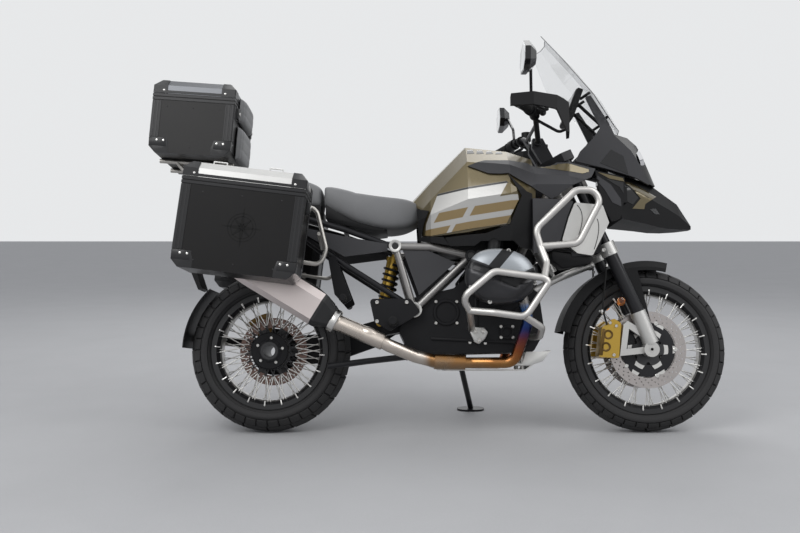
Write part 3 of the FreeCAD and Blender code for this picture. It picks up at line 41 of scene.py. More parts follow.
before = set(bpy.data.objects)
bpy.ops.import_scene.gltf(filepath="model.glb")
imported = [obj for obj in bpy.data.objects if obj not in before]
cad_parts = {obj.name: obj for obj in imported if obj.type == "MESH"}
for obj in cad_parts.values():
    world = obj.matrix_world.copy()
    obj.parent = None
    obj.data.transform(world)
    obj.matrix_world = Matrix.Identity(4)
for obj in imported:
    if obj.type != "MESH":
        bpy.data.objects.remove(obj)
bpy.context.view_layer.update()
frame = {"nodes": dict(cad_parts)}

LEAN = math.radians(9.5)
ORIGIN = Vector((0.680, 0.170, 0.0))
BIKE = Matrix.Translation(-ORIGIN) @ Matrix.Rotation(-LEAN, 4, "X")
WHEELBASE = 1.504
FRONT_AXLE = Vector((WHEELBASE, 0.0, 0.3259))
REAR_AXLE = Vector((0.0, 0.0, 0.3212))
MIRROR = Matrix.Scale(-1, 4, (0, 1, 0))

# Places that both the shapes and the materials use, along the bike and up
SILENCER_IN = (0.262, 0.436)
VEE_TIP = (0.942, 0.546)     # lowest point of the V across each head cover
VEE_REAR_SLOPE = 0.437
VEE_FRONT_SLOPE = 0.5


def colour(name, default, text):
    return FloatVectorProperty(name=name, description=text, subtype="COLOR", size=3, min=0, max=1,
                               default=default)


def length(name, default, text):
    return FloatProperty(name=name, description=text, default=default, min=0, unit="LENGTH", precision=4)


class PaintSettings(bpy.types.PropertyGroup):
    """Colours of the painted and moulded parts."""
    bronze: colour("Bronze", (0.118, 0.093, 0.044), "Metallic khaki bronze of the tank and the beak")
    silver: colour("Silver", (0.430, 0.425, 0.410), "Silver of the tank's side panels")
    stripe: colour("Stripe", (0.235, 0.165, 0.070), "Gold brown blocks on the silver panels")
    seat: colour("Seat", (0.150, 0.152, 0.155), "Grey seat cover")
    plastic: colour("Plastic", (0.0060, 0.0060, 0.0066), "Moulded black trim")
    case: colour("Case", (0.0050, 0.0046, 0.0048), "Powder coat of the cases")
    frame: colour("Frame", (0.270, 0.262, 0.255), "Grey metallic of the main frame")
    engine: colour("Engine", (0.0120, 0.0120, 0.0132), "Black coat of the crankcase")
    floor: colour("Floor", (0.420, 0.422, 0.428), "Floor")


class TreadSettings(bpy.types.PropertyGroup):
    """Sizes of the tyre tread."""
    pitches: IntProperty(name="Pitches", description="Rows of blocks round a tyre", default=40,
                         min=12, max=80)
    depth: length("Depth", 0.008, "Depth of the grooves")
    bevel: length("Bevel", 0.0015, "Rounding of the blocks' edges")


# Shader maths


class Value:
    """A number or colour socket that takes part in Python expressions."""

    def __init__(self, shader, socket):
        self.shader = shader
        self.socket = socket

    def math(self, operation, other=0.0, swap=False):
        first, second = (other, self) if swap else (self, other)
        return self.shader.node("ShaderNodeMath", {"operation": operation}, {0: first, 1: second})

    def __add__(self, other):
        return self.math("ADD", other)

    __radd__ = __add__

    def __sub__(self, other):
        return self.math("SUBTRACT", other)

    def __rsub__(self, other):
        return self.math("SUBTRACT", other, True)

    def __mul__(self, other):
        return self.math("MULTIPLY", other)

    __rmul__ = __mul__

    def power(self, other):
        return self.math("POWER", other)

    def most(self, other):
        return self.math("MAXIMUM", other)

    def size(self):
        return self.math("ABSOLUTE")

    def wave(self):
        return self.math("SINE")

    def step(self, low, high):
        """0 below low, 1 above high, and a smooth ramp between."""
        settings = {"interpolation_type": "SMOOTHSTEP"}
        return self.shader.node("ShaderNodeMapRange", settings,
                                {"Value": self, "From Min": low, "From Max": high})


class Shader:
    """A material under construction, with the bike's upright coordinates at hand."""

    def __init__(self, name):
        self.material = bpy.data.materials.new(name)
        self.material.use_nodes = True
        self.tree = self.material.node_tree
        self.surface = self.tree.nodes["Principled BSDF"]
        coords = self.tree.nodes.new("ShaderNodeTexCoord")
        turn = Matrix.Rotation(LEAN, 3, "X")
        self.point = self.node("ShaderNodeMapping", {}, {
            "Vector": Value(self, coords.outputs["Object"]), "Rotation": (LEAN, 0, 0),
            "Location": turn @ ORIGIN})

    def node(self, kind, settings, inputs, output=0):
        made = self.tree.nodes.new(kind)
        for key, setting in settings.items():
            if key == "stops":
                self.fill_ramp(made.color_ramp, setting)
            else:
                setattr(made, key, setting)
        for key, value in inputs.items():
            self.plug(made.inputs[key], value)
        return Value(self, made.outputs[output])

    def fill_ramp(self, ramp, stops):
        while len(ramp.elements) < len(stops):
            ramp.elements.new(0.5)
        for element, (position, tint) in zip(ramp.elements, stops):
            element.position = position
            element.color = (*tint, 1.0)

    def plug(self, socket, value):
        if isinstance(value, Value):
            self.tree.links.new(value.socket, socket)
        elif hasattr(socket.default_value, "__len__") and len(socket.default_value) == 4:
            socket.default_value = (*value, 1.0)
        else:
            socket.default_value = value

    def axes(self):
        return [self.node("ShaderNodeSeparateXYZ", {}, {0: self.point}, i) for i in range(3)]

    def noise(self, scale, detail=2.0, stretch=None):
        where = self.point
        if stretch:
            where = self.node("ShaderNodeVectorMath", {"operation": "MULTIPLY"}, {0: where, 1: stretch})
        return self.node("ShaderNodeTexNoise", {}, {"Vector": where, "Scale": scale, "Detail": detail})

    def mix(self, factor, first, second):
        made = self.tree.nodes.new("ShaderNodeMix")
        made.data_type = "RGBA"
        self.plug(made.inputs[0], factor)
        self.plug(made.inputs[6], first)
        self.plug(made.inputs[7], second)
        return Value(self, made.outputs[2])

    def set(self, **sockets):
        for key, value in sockets.items():
            self.plug(self.surface.inputs[key.replace("_", " ").title().replace("Ior", "IOR")], value)

    def bump(self, height, distance, strength=1.0):
        self.set(normal=self.node("ShaderNodeBump", {}, {"Height": height, "Distance": distance,
                                                         "Strength": strength}))


def shade(values, factor):
    """A colour made lighter or darker."""
    return tuple(min(1.0, v * factor) for v in values)


def worn_coat(name, tint, rough=0.4, metal=0.0, coat=0.0, grain=900.0, relief=0.00004, cloud=0.12):
    """Paint, powder coat or moulded plastic: fine grain, cloudy roughness and a slight change of tone."""
    s = Shader(name)
    broad = s.noise(7.0, 4.0)
    fine = s.noise(grain)
    s.set(base_color=s.mix(broad, shade(tint, 1 - cloud), shade(tint, 1 + cloud)), metallic=metal,
          roughness=rough - 0.09 + broad * 0.1 + fine * 0.08, coat_weight=coat, coat_roughness=0.08,
          specular_ior_level=0.5 if metal > 0.5 else 0.2)
    s.bump(fine + broad * 0.4, relief)
    return s.material


def brushed_metal(name, tint, rough=0.3, stretch=(4.0, 300.0, 300.0), relief=0.00002):
    """Bare metal with fine lines along the bike."""
    s = Shader(name)
    lines = s.noise(4.0, 3.0, stretch)
    broad = s.noise(11.0, 4.0)
    s.set(base_color=s.mix(broad, shade(tint, 0.86), shade(tint, 1.06)), metallic=1.0,
          roughness=rough - 0.06 + lines * 0.12 + broad * 0.06)
    s.bump(lines, relief)
    return s.material


def wheel_metal(name, centre, hub_tint, wire_radii, rim_tint):
    """Black rim and hub with bright spokes between them, by the distance from the axle."""
    s = Shader(name)
    x, _, z = s.axes()
    across, up = x - centre.x, z - centre.z
    radius = (across * across + up * up).power(0.5)
    low, high = wire_radii
    wire = radius.step(low, low + 0.002) * (1 - radius.step(high, high + 0.002))
    fine = s.noise(700.0)
    broad = s.noise(9.0, 4.0)
    dark = s.mix(radius.step(low, high), hub_tint, rim_tint)
    s.set(base_color=s.mix(wire, dark, (0.62, 0.61, 0.59)), metallic=wire * 0.95 + 0.05,
          roughness=0.3 + broad * 0.1 + fine * 0.06)
    s.bump(fine + broad * 0.5, 0.00004)
    return s.material


def tyre_rubber(name, centre):
    """Matt rubber with moulded rings on the sidewall and a dusty tread."""
    s = Shader(name)
    x, _, z = s.axes()
    across, up = x - centre.x, z - centre.z
    radius = (across * across + up * up).power(0.5)
    rings = (radius * 1500.0).wave()
    fine = s.noise(1400.0)
    broad = s.noise(14.0, 5.0)
    s.set(base_color=s.mix(broad, (0.012, 0.012, 0.013), (0.026, 0.025, 0.025)),
          roughness=0.66 + broad * 0.16 + fine * 0.06)
    s.bump(rings * 0.35 + fine, 0.00025, 0.6)
    return s.material


def heat_metal(name):
    """Stainless header pipe: straw and violet near the ports, blue above, plain steel further back."""
    s = Shader(name)
    x, _, z = s.axes()
    broad = s.noise(16.0, 4.0)
    along = (z - 0.262) * 3.4 + (x - 0.62) * 0.55 + (broad - 0.5) * 0.25
    stops = [(0.0, (0.30, 0.22, 0.15)), (0.16, (0.34, 0.17, 0.06)), (0.34, (0.26, 0.08, 0.03)),
             (0.52, (0.14, 0.04, 0.05)), (0.70, (0.025, 0.04, 0.15)), (0.9, (0.04, 0.10, 0.24)),
             (1.0, (0.20, 0.19, 0.18))]
    tint = s.node("ShaderNodeValToRGB", {"stops": stops}, {"Fac": along})
    rear = 1 - x.step(0.60, 0.64)
    tint = s.mix(rear, tint, s.mix(broad, (0.50, 0.44, 0.39), (0.66, 0.60, 0.54)))
    s.set(base_color=tint, metallic=1.0, roughness=0.2 + broad * 0.16)
    s.bump(s.noise(420.0), 0.00003)
    return s.material


def silencer_metal(name):
    """Satin steel with a rose tint, and the black sleeve at its lower end."""
    s = Shader(name)
    x, _, z = s.axes()
    along = (SILENCER_IN[0] - x) * 0.853 + (z - SILENCER_IN[1]) * 0.521
    sleeve = 1 - along.step(0.070, 0.072)
    broad = s.noise(6.0, 3.0)
    lines = s.noise(5.0, 3.0, (60.0, 300.0, 60.0))
    steel = s.mix(broad, (0.60, 0.52, 0.51), (0.74, 0.68, 0.66))
    s.set(base_color=s.mix(sleeve, steel, (0.018, 0.018, 0.019)), metallic=1 - sleeve * 0.8,
          roughness=0.25 + lines * 0.14 + sleeve * 0.15)
    s.bump(lines, 0.00002)
    return s.material


def striped_panel(name, silver, stripe, bronze):
    """Silver side panel with gold brown blocks in two rows and bronze at its upper front."""
    s = Shader(name)
    x, _, z = s.axes()
    rise = z - (x - 0.62) * 0.135
    slant = x - (z - 0.80) * 0.55
    low = rise.step(0.762, 0.764) * (1 - rise.step(0.790, 0.793))
    low = low * (1 - slant.step(0.712, 0.715) * (1 - slant.step(0.730, 0.733)))
    middle = rise.step(0.812, 0.814) * (1 - rise.step(0.846, 0.849)) * slant.step(0.640, 0.643)
    middle = middle * (1 - slant.step(0.742, 0.745) * (1 - slant.step(0.766, 0.769)))
    blocks = low.most(middle)
    front = (rise.step(0.868, 0.870) * slant.step(0.842, 0.845)).most(rise.step(0.925, 0.929))
    groove = rise.step(0.918, 0.920) * (1 - rise.step(0.926, 0.928))
    flake = s.noise(2600.0, 1.0)
    broad = s.noise(5.0, 3.0)
    base = s.mix(broad, shade(silver, 0.92), shade(silver, 1.08))
    tint = s.mix(front, s.mix(blocks, base, stripe), bronze)
    s.set(base_color=s.mix(groove, tint, (0.02, 0.02, 0.02)), metallic=0.5, coat_weight=0.5,
          coat_roughness=0.06, roughness=0.30 + flake * 0.08 + broad * 0.06)
    s.bump(flake - groove * 3.0, 0.00002)
    return s.material


def cover_paint_and_painted_light(name):
    """Satin grey head cover: pale painted reflections in its upper half, a black band between them, and
    painted shade, black, in the sunk V.
    """
    s = Shader(name)
    x, y, z = s.axes()
    tip, rear, front = VEE_TIP, VEE_REAR_SLOPE, VEE_FRONT_SLOPE
    vee = ((tip[0] - x) * rear).most((x - tip[0]) * front) + tip[1]
    above = z - vee
    face = y.size().step(0.3400, 0.3440)
    # painted shade: the sunk V on the cover's face is painted near black
    recess = above.step(-0.001, 0.001) * (1 - above.step(0.032, 0.034)) * face
    band = 1 - (x - 0.855 - (z - 0.61) * 0.85).size().step(0.023, 0.025)
    # painted reflection: the face above the V is painted pale, either side of the band
    painted_reflection = above.step(0.040, 0.042) * (1 - band)
    fine = s.noise(900.0)
    broad = s.noise(8.0, 3.0)
    # painted reflection, pale grey, over the cover's dark grey
    tint = s.mix(painted_reflection, (0.034, 0.034, 0.037), (0.30, 0.32, 0.34))
    # painted shade in the sunk V, and the band, near black
    tint = s.mix(recess.most(band * above.step(0.030, 0.032)), tint, (0.006, 0.006, 0.007))
    s.set(base_color=tint, metallic=0.45, roughness=0.30 + broad * 0.10 + fine * 0.05, coat_weight=0.1)
    s.bump(fine, 0.00003)
    return s.material


def clear_sheet(name, tint, rough=0.03):
    s = Shader(name)
    fine = s.noise(60.0, 3.0)
    s.set(base_color=tint, transmission_weight=0.96, ior=1.47, roughness=rough + fine * 0.02)
    return s.material


def leather(name, tint):
    """Grained seat cover with slight creases."""
    s = Shader(name)
    pores = s.node("ShaderNodeTexVoronoi", {"feature": "F1"}, {"Vector": s.point, "Scale": 620.0})
    broad = s.noise(11.0, 5.0)
    s.set(base_color=s.mix(broad, shade(tint, 0.84), shade(tint, 1.14)), roughness=0.5 + broad * 0.14,
          sheen_weight=0.08)
    s.bump(pores + broad * 1.2, 0.00028, 0.7)
    return s.material


FINISHES = {}


def make_finishes(paint):
    """Every material, by the plain name that pieces ask for."""
    made = {
        "front rubber": tyre_rubber("front_rubber", FRONT_AXLE),
        "rear rubber": tyre_rubber("rear_rubber", REAR_AXLE),
        "front wheel": wheel_metal("front_wheel_metal", FRONT_AXLE, (0.025, 0.025, 0.027), (0.064, 0.222),
                                   (0.012, 0.012, 0.013)),
        "rear wheel": wheel_metal("rear_wheel_metal", REAR_AXLE, (0.02, 0.02, 0.022), (0.102, 0.199),
                                  (0.012, 0.012, 0.013)),
        "disc dark": brushed_metal("disc_dark", (0.17, 0.115, 0.10), 0.32, (90.0, 20.0, 90.0)),
        "gold dark": worn_coat("gold_dark", (0.115, 0.070, 0.022), 0.36, 0.8, 0.0, 600.0, 0.00005),
        "case corner": worn_coat("case_corner", (0.022, 0.022, 0.023), 0.34, 0.0, 0.1, 900.0, 0.00006, 0.15),
        "rose": worn_coat("wind_rose_ink", (0.004, 0.004, 0.004), 0.62, 0.0, 0.0, 900.0, 0.00002, 0.1),
        "amber": clear_sheet("amber_lens", (0.95, 0.30, 0.03), 0.10),
        "red": clear_sheet("red_lens", (0.75, 0.02, 0.015), 0.10),
        "lamp bowl": brushed_metal("lamp_bowl", (0.86, 0.86, 0.87), 0.10, (3.0, 3.0, 3.0), 0.0),
        "disc steel": brushed_metal("disc_steel", (0.42, 0.39, 0.38), 0.28, (90.0, 20.0, 90.0)),
        "black metal": worn_coat("black_metal", (0.016, 0.016, 0.018), 0.36, 0.2, 0.15, 800.0, 0.00003),
        "cast black": worn_coat("cast_black", tuple(paint.engine), 0.46, 0.35, 0.0, 420.0, 0.00012, 0.3),
        "head cover": worn_coat("head_cover", (0.060, 0.060, 0.064), 0.3, 0.6, 0.2, 900.0, 0.00003),
        # head covers: their paint, with a painted reflection and painted shade
        "cover paint and painted light": cover_paint_and_painted_light("cover_paint_and_painted_light"),
        "frame grey": worn_coat("frame_grey", tuple(paint.frame), 0.36, 0.75, 0.1, 700.0, 0.00004),
        "crash bar": brushed_metal("crash_bar_steel", (0.60, 0.585, 0.565), 0.40, (60.0, 60.0, 60.0)),
        "rack steel": brushed_metal("rack_steel", (0.52, 0.50, 0.47), 0.4, (50.0, 50.0, 50.0)),
        "cast silver": worn_coat("cast_silver", (0.52, 0.515, 0.50), 0.42, 0.8, 0.0, 300.0, 0.0001, 0.1),
        "bronze": worn_coat("bronze_paint", tuple(paint.bronze), 0.3, 0.6, 0.7, 2600.0, 0.00001, 0.08),
        "silver panel": striped_panel("silver_panel", tuple(paint.silver), tuple(paint.stripe),
                                      tuple(paint.bronze)),
        "silver cover": worn_coat("silver_cover", shade(paint.silver, 1.35), 0.34, 0.6, 0.4, 2600.0,
                                  0.00001, 0.05),
        "plastic": worn_coat("black_plastic", tuple(paint.plastic), 0.52, 0.0, 0.0, 1100.0, 0.00006, 0.2),
        "grey plastic": worn_coat("grey_plastic", (0.045, 0.045, 0.048), 0.5, 0.0, 0.05, 1100.0,
                                  0.00005, 0.15),
        "gloss black": worn_coat("gloss_black", (0.010, 0.010, 0.011), 0.22, 0.0, 0.6, 2000.0, 0.00001),
        "case coat": worn_coat("case_coat", tuple(paint.case), 0.42, 0.1, 0.1, 520.0, 0.00006, 0.25),
        "lid silver": brushed_metal("lid_aluminium", (0.60, 0.597, 0.585), 0.38, (5.0, 240.0, 240.0)),
        "lid grey": brushed_metal("lid_grey", (0.15, 0.155, 0.165), 0.38, (5.0, 240.0, 240.0)),
        "seat cover": leather("seat_cover", tuple(paint.seat)),
        "header": heat_metal("header_pipe"),
        "silencer": silencer_metal("silencer_steel"),
        "gold": worn_coat("gold_anodised", (0.45, 0.29, 0.055), 0.32, 0.85, 0.0, 600.0, 0.00005),
        "skid metal": brushed_metal("skid_metal", (0.60, 0.595, 0.58), 0.42, (8.0, 200.0, 200.0)),
        "bolt steel": brushed_metal("bolt_steel", (0.66, 0.65, 0.63), 0.26, (90.0, 90.0, 90.0)),
        "screen": clear_sheet("clear_screen", (0.97, 0.975, 0.98)),
        "lens": clear_sheet("lamp_lens", (0.93, 0.95, 0.97), 0.02),
        "rubber": worn_coat("black_rubber", (0.014, 0.014, 0.014), 0.72, 0.0, 0.0, 1300.0, 0.0001),
        "radiator": worn_coat("radiator_black", (0.012, 0.012, 0.013), 0.5, 0.3, 0.0, 900.0, 0.00008),
        "mirror glass": brushed_metal("mirror_glass", (0.82, 0.83, 0.84), 0.06, (3.0, 3.0, 3.0), 0.0),
    }
    FINISHES.update(made)


NODE_FINISH = {
    "front_tyre": "front rubber", "rear_tyre": "rear rubber", "front_wheel": "front wheel",
    "rear_wheel": "rear wheel", "front_discs": "disc steel", "rear_disc": "disc steel",
    "fork_tubes": "black metal", "fork_castings": "cast silver", "top_bridge": "black metal",
    "handlebar": "black metal", "controls": "plastic", "hand_guards": "plastic", "mirrors": "gloss black",
    "front_calipers": "gold", "front_fender": "plastic", "engine_case": "cast black",
    "cylinders": "cast black", "head_covers": "head cover", "main_frame": "frame grey",
    "rear_frame": "black metal", "swing_arm": "cast black", "rear_shock": "gold", "telelever": "cast silver",
    "exhaust_pipes": "header", "silencer": "silencer", "skid_plate": "skid metal",
    "stand_bracket": "black metal", "footrests": "cast black", "air_box": "plastic", "tank": "bronze",
    "tank_panels": "silver panel", "rider_seat": "seat cover", "pillion_seat": "seat cover",
    "beak": "plastic", "headlight": "gloss black", "radiators": "radiator",
    "radiator_covers": "silver cover", "side_shrouds": "grey plastic", "windscreen": "screen",
    "instrument": "plastic", "cockpit_panels": "grey plastic", "side_covers": "grey plastic",
    "rear_fender": "plastic", "side_cases": "case coat", "top_case": "case coat", "left_lid": "lid silver",
    "right_lid": "lid silver", "top_lid": "lid grey", "luggage_rack": "rack steel",
    "tank_trim": "plastic", "rear_caliper": "gold dark", "back_pad": "seat cover", "lid_pad": "seat cover",
    "crash_bars": "crash bar", "side_stand": "black metal", "centre_stand": "black metal",
}


# Modelling by hand, in code


def start_fresh():
    """Leave edit mode and deselect everything, so that an operator acts on new work alone."""
    if bpy.context.object and bpy.context.object.mode != "OBJECT":
        bpy.ops.object.mode_set(mode="OBJECT")
    bpy.ops.object.select_all(action="DESELECT")


def edit_all(*steps):
    """Run edit-mode steps, each with the whole mesh selected."""
    bpy.ops.object.mode_set(mode="EDIT")
    for step in steps:
        bpy.ops.mesh.select_all(action="SELECT")
        step()
    bpy.ops.object.mode_set(mode="OBJECT")


def outward():
    bpy.ops.mesh.normals_make_consistent(inside=False)


def weld():
    bpy.ops.mesh.remove_doubles(threshold=0.00002)


def pick_faces(piece, test):
    """Select the faces that pass a test, and go to edit mode."""
    bpy.ops.object.mode_set(mode="EDIT")
    bpy.ops.mesh.select_mode(type="FACE")
    bpy.ops.mesh.select_all(action="DESELECT")
    bpy.ops.object.mode_set(mode="OBJECT")
    for face in piece.data.polygons:
        face.select = test(face)
    bpy.ops.object.mode_set(mode="EDIT")


def modify(piece, kind, **settings):
    """Add a modifier and apply it."""
    bpy.context.view_layer.objects.active = piece
    made = piece.modifiers.new(kind.title(), kind)
    for key, value in settings.items():
        setattr(made, key, value)
    bpy.ops.object.modifier_apply(modifier=made.name)
    return piece


def round_edges(piece, width, segments=2, angle=30.0):
    return modify(piece, "BEVEL", width=width, segments=segments, limit_method="ANGLE",
                  angle_limit=math.radians(angle))


def plate(points, low, high, bevel=0.0, segments=2):
    """A side-view outline, in X and Z, made a solid from low to high in Y."""
    start_fresh()
    bpy.ops.mesh.primitive_circle_add(vertices=len(points), fill_type="NGON")
    piece = bpy.context.object
    for vertex, (x, z) in zip(piece.data.vertices, points):
        vertex.co = (x, low, z)
    edit_all(lambda: bpy.ops.mesh.extrude_region_move(TRANSFORM_OT_translate={"value": (0, high - low, 0)}),
             outward)
    return round_edges(piece, bevel, segments) if bevel else piece


def floor_plate(points, low, high, bevel=0.0):
    """A plan outline, in X and Y, made a solid from low to high in Z."""
    piece = plate(points, low, high, bevel)
    piece.data.transform(Matrix(((1, 0, 0, 0), (0, 0, 1, 0), (0, 1, 0, 0), (0, 0, 0, 1))))
    edit_all(outward)
    return piece


def oval(cx, cz, rx, rz, count=24):
    return [(cx + rx * math.cos(math.tau * i / count), cz + rz * math.sin(math.tau * i / count))
            for i in range(count)]


def lathe(profile, steps=64):
    """A closed profile of radii and offsets, spun round the Y axis."""
    start_fresh()
    bpy.ops.mesh.primitive_circle_add(vertices=len(profile), fill_type="NOTHING")
    piece = bpy.context.object
    for vertex, (radius, offset) in zip(piece.data.vertices, profile):
        vertex.co = (radius, offset, 0)
    edit_all(lambda: bpy.ops.mesh.spin(steps=steps, angle=math.tau, center=(0, 0, 0), axis=(0, 1, 0)),
             weld, lambda: bpy.ops.mesh.delete_loose(use_verts=True, use_edges=True, use_faces=False),
             outward)
    return piece


def tube(points, radius, smooth=True, closed=False, sides=4):
    """A round tube along a curve through or near the given points."""
    start_fresh()
    bpy.ops.curve.primitive_nurbs_path_add()
    piece = bpy.context.object
    curve = piece.data
    curve.splines.clear()
    spline = curve.splines.new("NURBS" if smooth else "POLY")
    spline.points.add(len(points) - 1)
    for point, place in zip(spline.points, points):
        point.co = (*place, 1.0)
    spline.use_cyclic_u = closed
    if smooth:
        spline.order_u = 3
        spline.use_endpoint_u = not closed
        spline.resolution_u = 8
    curve.bevel_depth = radius
    curve.bevel_resolution = sides
    curve.use_fill_caps = True
    bpy.ops.object.convert(target="MESH")
    return bpy.context.object


def loft(rings):
    """A closed skin through rings of equally many points, capped at both ends."""
    start_fresh()
    rows, count = len(rings), len(rings[0])
    bpy.ops.mesh.primitive_grid_add(x_subdivisions=rows - 1, y_subdivisions=count, size=1.0)
    piece = bpy.context.object
    for vertex in piece.data.vertices:
        row = round((vertex.co.x + 0.5) * (rows - 1))
        step = round((vertex.co.y + 0.5) * count) % count
        vertex.co = rings[row][step]
    edit_all(weld)
    bpy.ops.object.mode_set(mode="EDIT")
    bpy.ops.mesh.select_mode(type="EDGE")
    bpy.ops.mesh.select_all(action="DESELECT")
    bpy.ops.mesh.select_non_manifold()
    bpy.ops.mesh.fill_holes(sides=0)
    bpy.ops.object.mode_set(mode="OBJECT")
    edit_all(outward)
    return piece


def merged(pieces):
    """Several meshes joined in one."""
    start_fresh()
    for piece in pieces:
        piece.select_set(True)
    bpy.context.view_layer.objects.active = pieces[0]
    if len(pieces) > 1:
        bpy.ops.object.join()
    return bpy.context.object


def repeated(piece, places):
    """One copy of a piece at each matrix, joined in one mesh."""
    made = []
    for place in places:
        twin = piece.copy()
        twin.data = piece.data.copy()
        twin.data.transform(place)
        if place.determinant() < 0:
            twin.data.flip_normals()
        bpy.context.collection.objects.link(twin)
        made.append(twin)
    bpy.data.objects.remove(piece)
    return merged(made)


def moved(piece, place):
    return repeated(piece, [place])


def both_sides(piece):
    return repeated(piece, [Matrix.Identity(4), MIRROR])


def aim(point, direction):
    """A matrix that carries the Y axis to a direction from a point."""
    turn = Vector(direction).to_track_quat("Y", "Z").to_matrix().to_4x4()
    return Matrix.Translation(point) @ turn


def ring_places(centre, radius, count, start=0.0, out=1.0):
    """Places on a circle round an axis along Y, each facing out along it."""
    made = []
    for i in range(count):
        a = math.tau * i / count + start
        spot = Vector(centre) + Vector((radius * math.cos(a), 0, radius * math.sin(a)))
        made.append(aim(spot, (0, out, 0)))
    return made


def cap_screw(radius, height):
    """A cap screw's head, standing on the origin along Y, with a sunk socket."""
    start_fresh()
    bpy.ops.mesh.primitive_cylinder_add(vertices=12, radius=radius, depth=height, location=(0, 0, height / 2))
    piece = bpy.context.object
    bpy.ops.object.transform_apply(location=True, rotation=True, scale=True)
    pick_faces(piece, lambda face: face.normal.z > 0.9)
    bpy.ops.mesh.inset(thickness=radius * 0.42)
    bpy.ops.mesh.extrude_region_move(TRANSFORM_OT_translate={"value": (0, 0, -height * 0.6)})
    bpy.ops.object.mode_set(mode="OBJECT")
    round_edges(piece, radius * 0.12, 1, 40.0)
    piece.data.transform(Matrix.Rotation(-math.pi / 2, 4, "X"))
    return piece


def rivet(radius, height):
    """A domed rivet head, standing on the origin along Y."""
    return lathe([(0, -0.001), (radius, -0.001), (radius * 0.94, height * 0.45),
                  (radius * 0.6, height * 0.88), (0, height)], 12)


def settle(piece, name, body, finish, replaces=(), smooth=32.0):
    """Lean a finished mesh with the bike and give it its name, finish and body."""
    start_fresh()
    piece.select_set(True)
    bpy.context.view_layer.objects.active = piece
    piece.name = name
    piece.data.name = name
    piece.data.transform(BIKE)
    piece.data.materials.clear()
    piece.data.materials.append(FINISHES[finish])
    bpy.ops.object.shade_smooth_by_angle(angle=math.radians(smooth))
    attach(piece, body)
    if replaces:
        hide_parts(*replaces)
    return piece


# Tyres and brakes


TYRES = (
    {"name": "front", "axle": FRONT_AXLE, "radius": 0.325, "width": 0.122, "crown": 0.062, "seat": 0.241,
     "rim": 0.084},
    {"name": "rear", "axle": REAR_AXLE, "radius": 0.320, "width": 0.170, "crown": 0.088, "seat": 0.218,
     "rim": 0.122},
)
# Tread columns: from and to across the half crown, from and to along a pitch, slant, pitches to a block
TREAD = ((-1.0, -0.64, 0.06, 0.94, 0.10, 1), (-0.60, -0.21, 0.04, 0.96, 0.34, 2),
         (-0.17, 0.17, 0.03, 0.97, 0.0, 2), (0.21, 0.60, 0.04, 0.96, 0.34, 2),
         (0.64, 1.0, 0.06, 0.94, 0.10, 1))


def crown_edge(tyre):
    return math.asin(0.9 * tyre["width"] / 2 / tyre["crown"])


def crown_point(tyre, turn, lean, down=0.0):
    """A point of the crown, by the angle round the axle and the angle across."""
    crown = tyre["crown"]
    radius = tyre["radius"] - crown + (crown - down) * math.cos(lean)
    return Vector((radius * math.cos(turn), (crown - down) * math.sin(lean), radius * math.sin(turn)))


def carcass(tyre, depth):
    """The tyre's body with a moulded sidewall, its crown as low as the grooves' floor."""
    half, seat, edge = tyre["width"] / 2, tyre["seat"], crown_edge(tyre)
    inner = tyre["rim"] / 2 - 0.0063
    flange = seat + 0.014
    flank = (tyre["radius"] - tyre["crown"] * (1 - math.cos(edge)) + flange) / 2
    side = [(seat + 0.0003, inner), (flange + 0.002, inner), (flange + 0.007, half * 0.80),
            (flange + 0.010, half * 0.83), (flange + 0.014, half * 0.83), (flank - 0.008, half * 0.95),
            (flank + 0.004, half * 0.99), (flank + 0.010, half * 0.985), (flank + 0.014, half * 0.955)]
    steps = 14
    top = []
    for i in range(steps + 1):
        point = crown_point(tyre, 0.0, edge * 0.97 * (2 * i / steps - 1), depth)
        top.append((point.x, point.y))
    return lathe([(r, -y) for r, y in side] + top + [(r, y) for r, y in reversed(side)], 144)


def tread_block(tyre, column, pitches, depth, bevel):
    """One raised block, bent to the crown."""
    start, end, first, last, slant, share = column
    step, edge = math.tau / pitches * share, crown_edge(tyre)
    start_fresh()
    bpy.ops.mesh.primitive_grid_add(x_subdivisions=2, y_subdivisions=3, size=1.0)
    piece = bpy.context.object
    for vertex in piece.data.vertices:
        along = first + (last - first) * (vertex.co.x + 0.5)
        across = start + (end - start) * (vertex.co.y + 0.5)
        along += slant * abs(across) / share
        vertex.co = crown_point(tyre, -along * step, edge * across)
    modify(piece, "SOLIDIFY", thickness=depth + 0.002, offset=-1.0)
    return round_edges(piece, bevel, 1, 40.0)


class MOTORCYCLE_OT_tyres(bpy.types.Operator):
    """Build both tyres with sidewalls and tread blocks"""
    bl_idname = "motorcycle.tyres"
    bl_label = "Build the Tyres"

    def execute(self, context):
        tread = context.scene.motorcycle_tread
        for tyre in TYRES:
            made = [carcass(tyre, tread.depth)]
            for column in TREAD:
                block = tread_block(tyre, column, tread.pitches, tread.depth, tread.bevel)
                count = tread.pitches // column[5]
                turns = [Matrix.Rotation(math.tau * i / count, 4, "Y") for i in range(count)]
                made.append(repeated(block, turns))
            piece = moved(merged(made), Matrix.Translation(tyre["axle"]))
            name = tyre["name"]
            settle(piece, f"{name}_tyre_tread", f"{name}_wheel", f"{name} rubber", [f"{name}_tyre"], 40.0)
        return {"FINISHED"}


LOBE_DEPTH = 0.007
LOBE_STEPS = 120


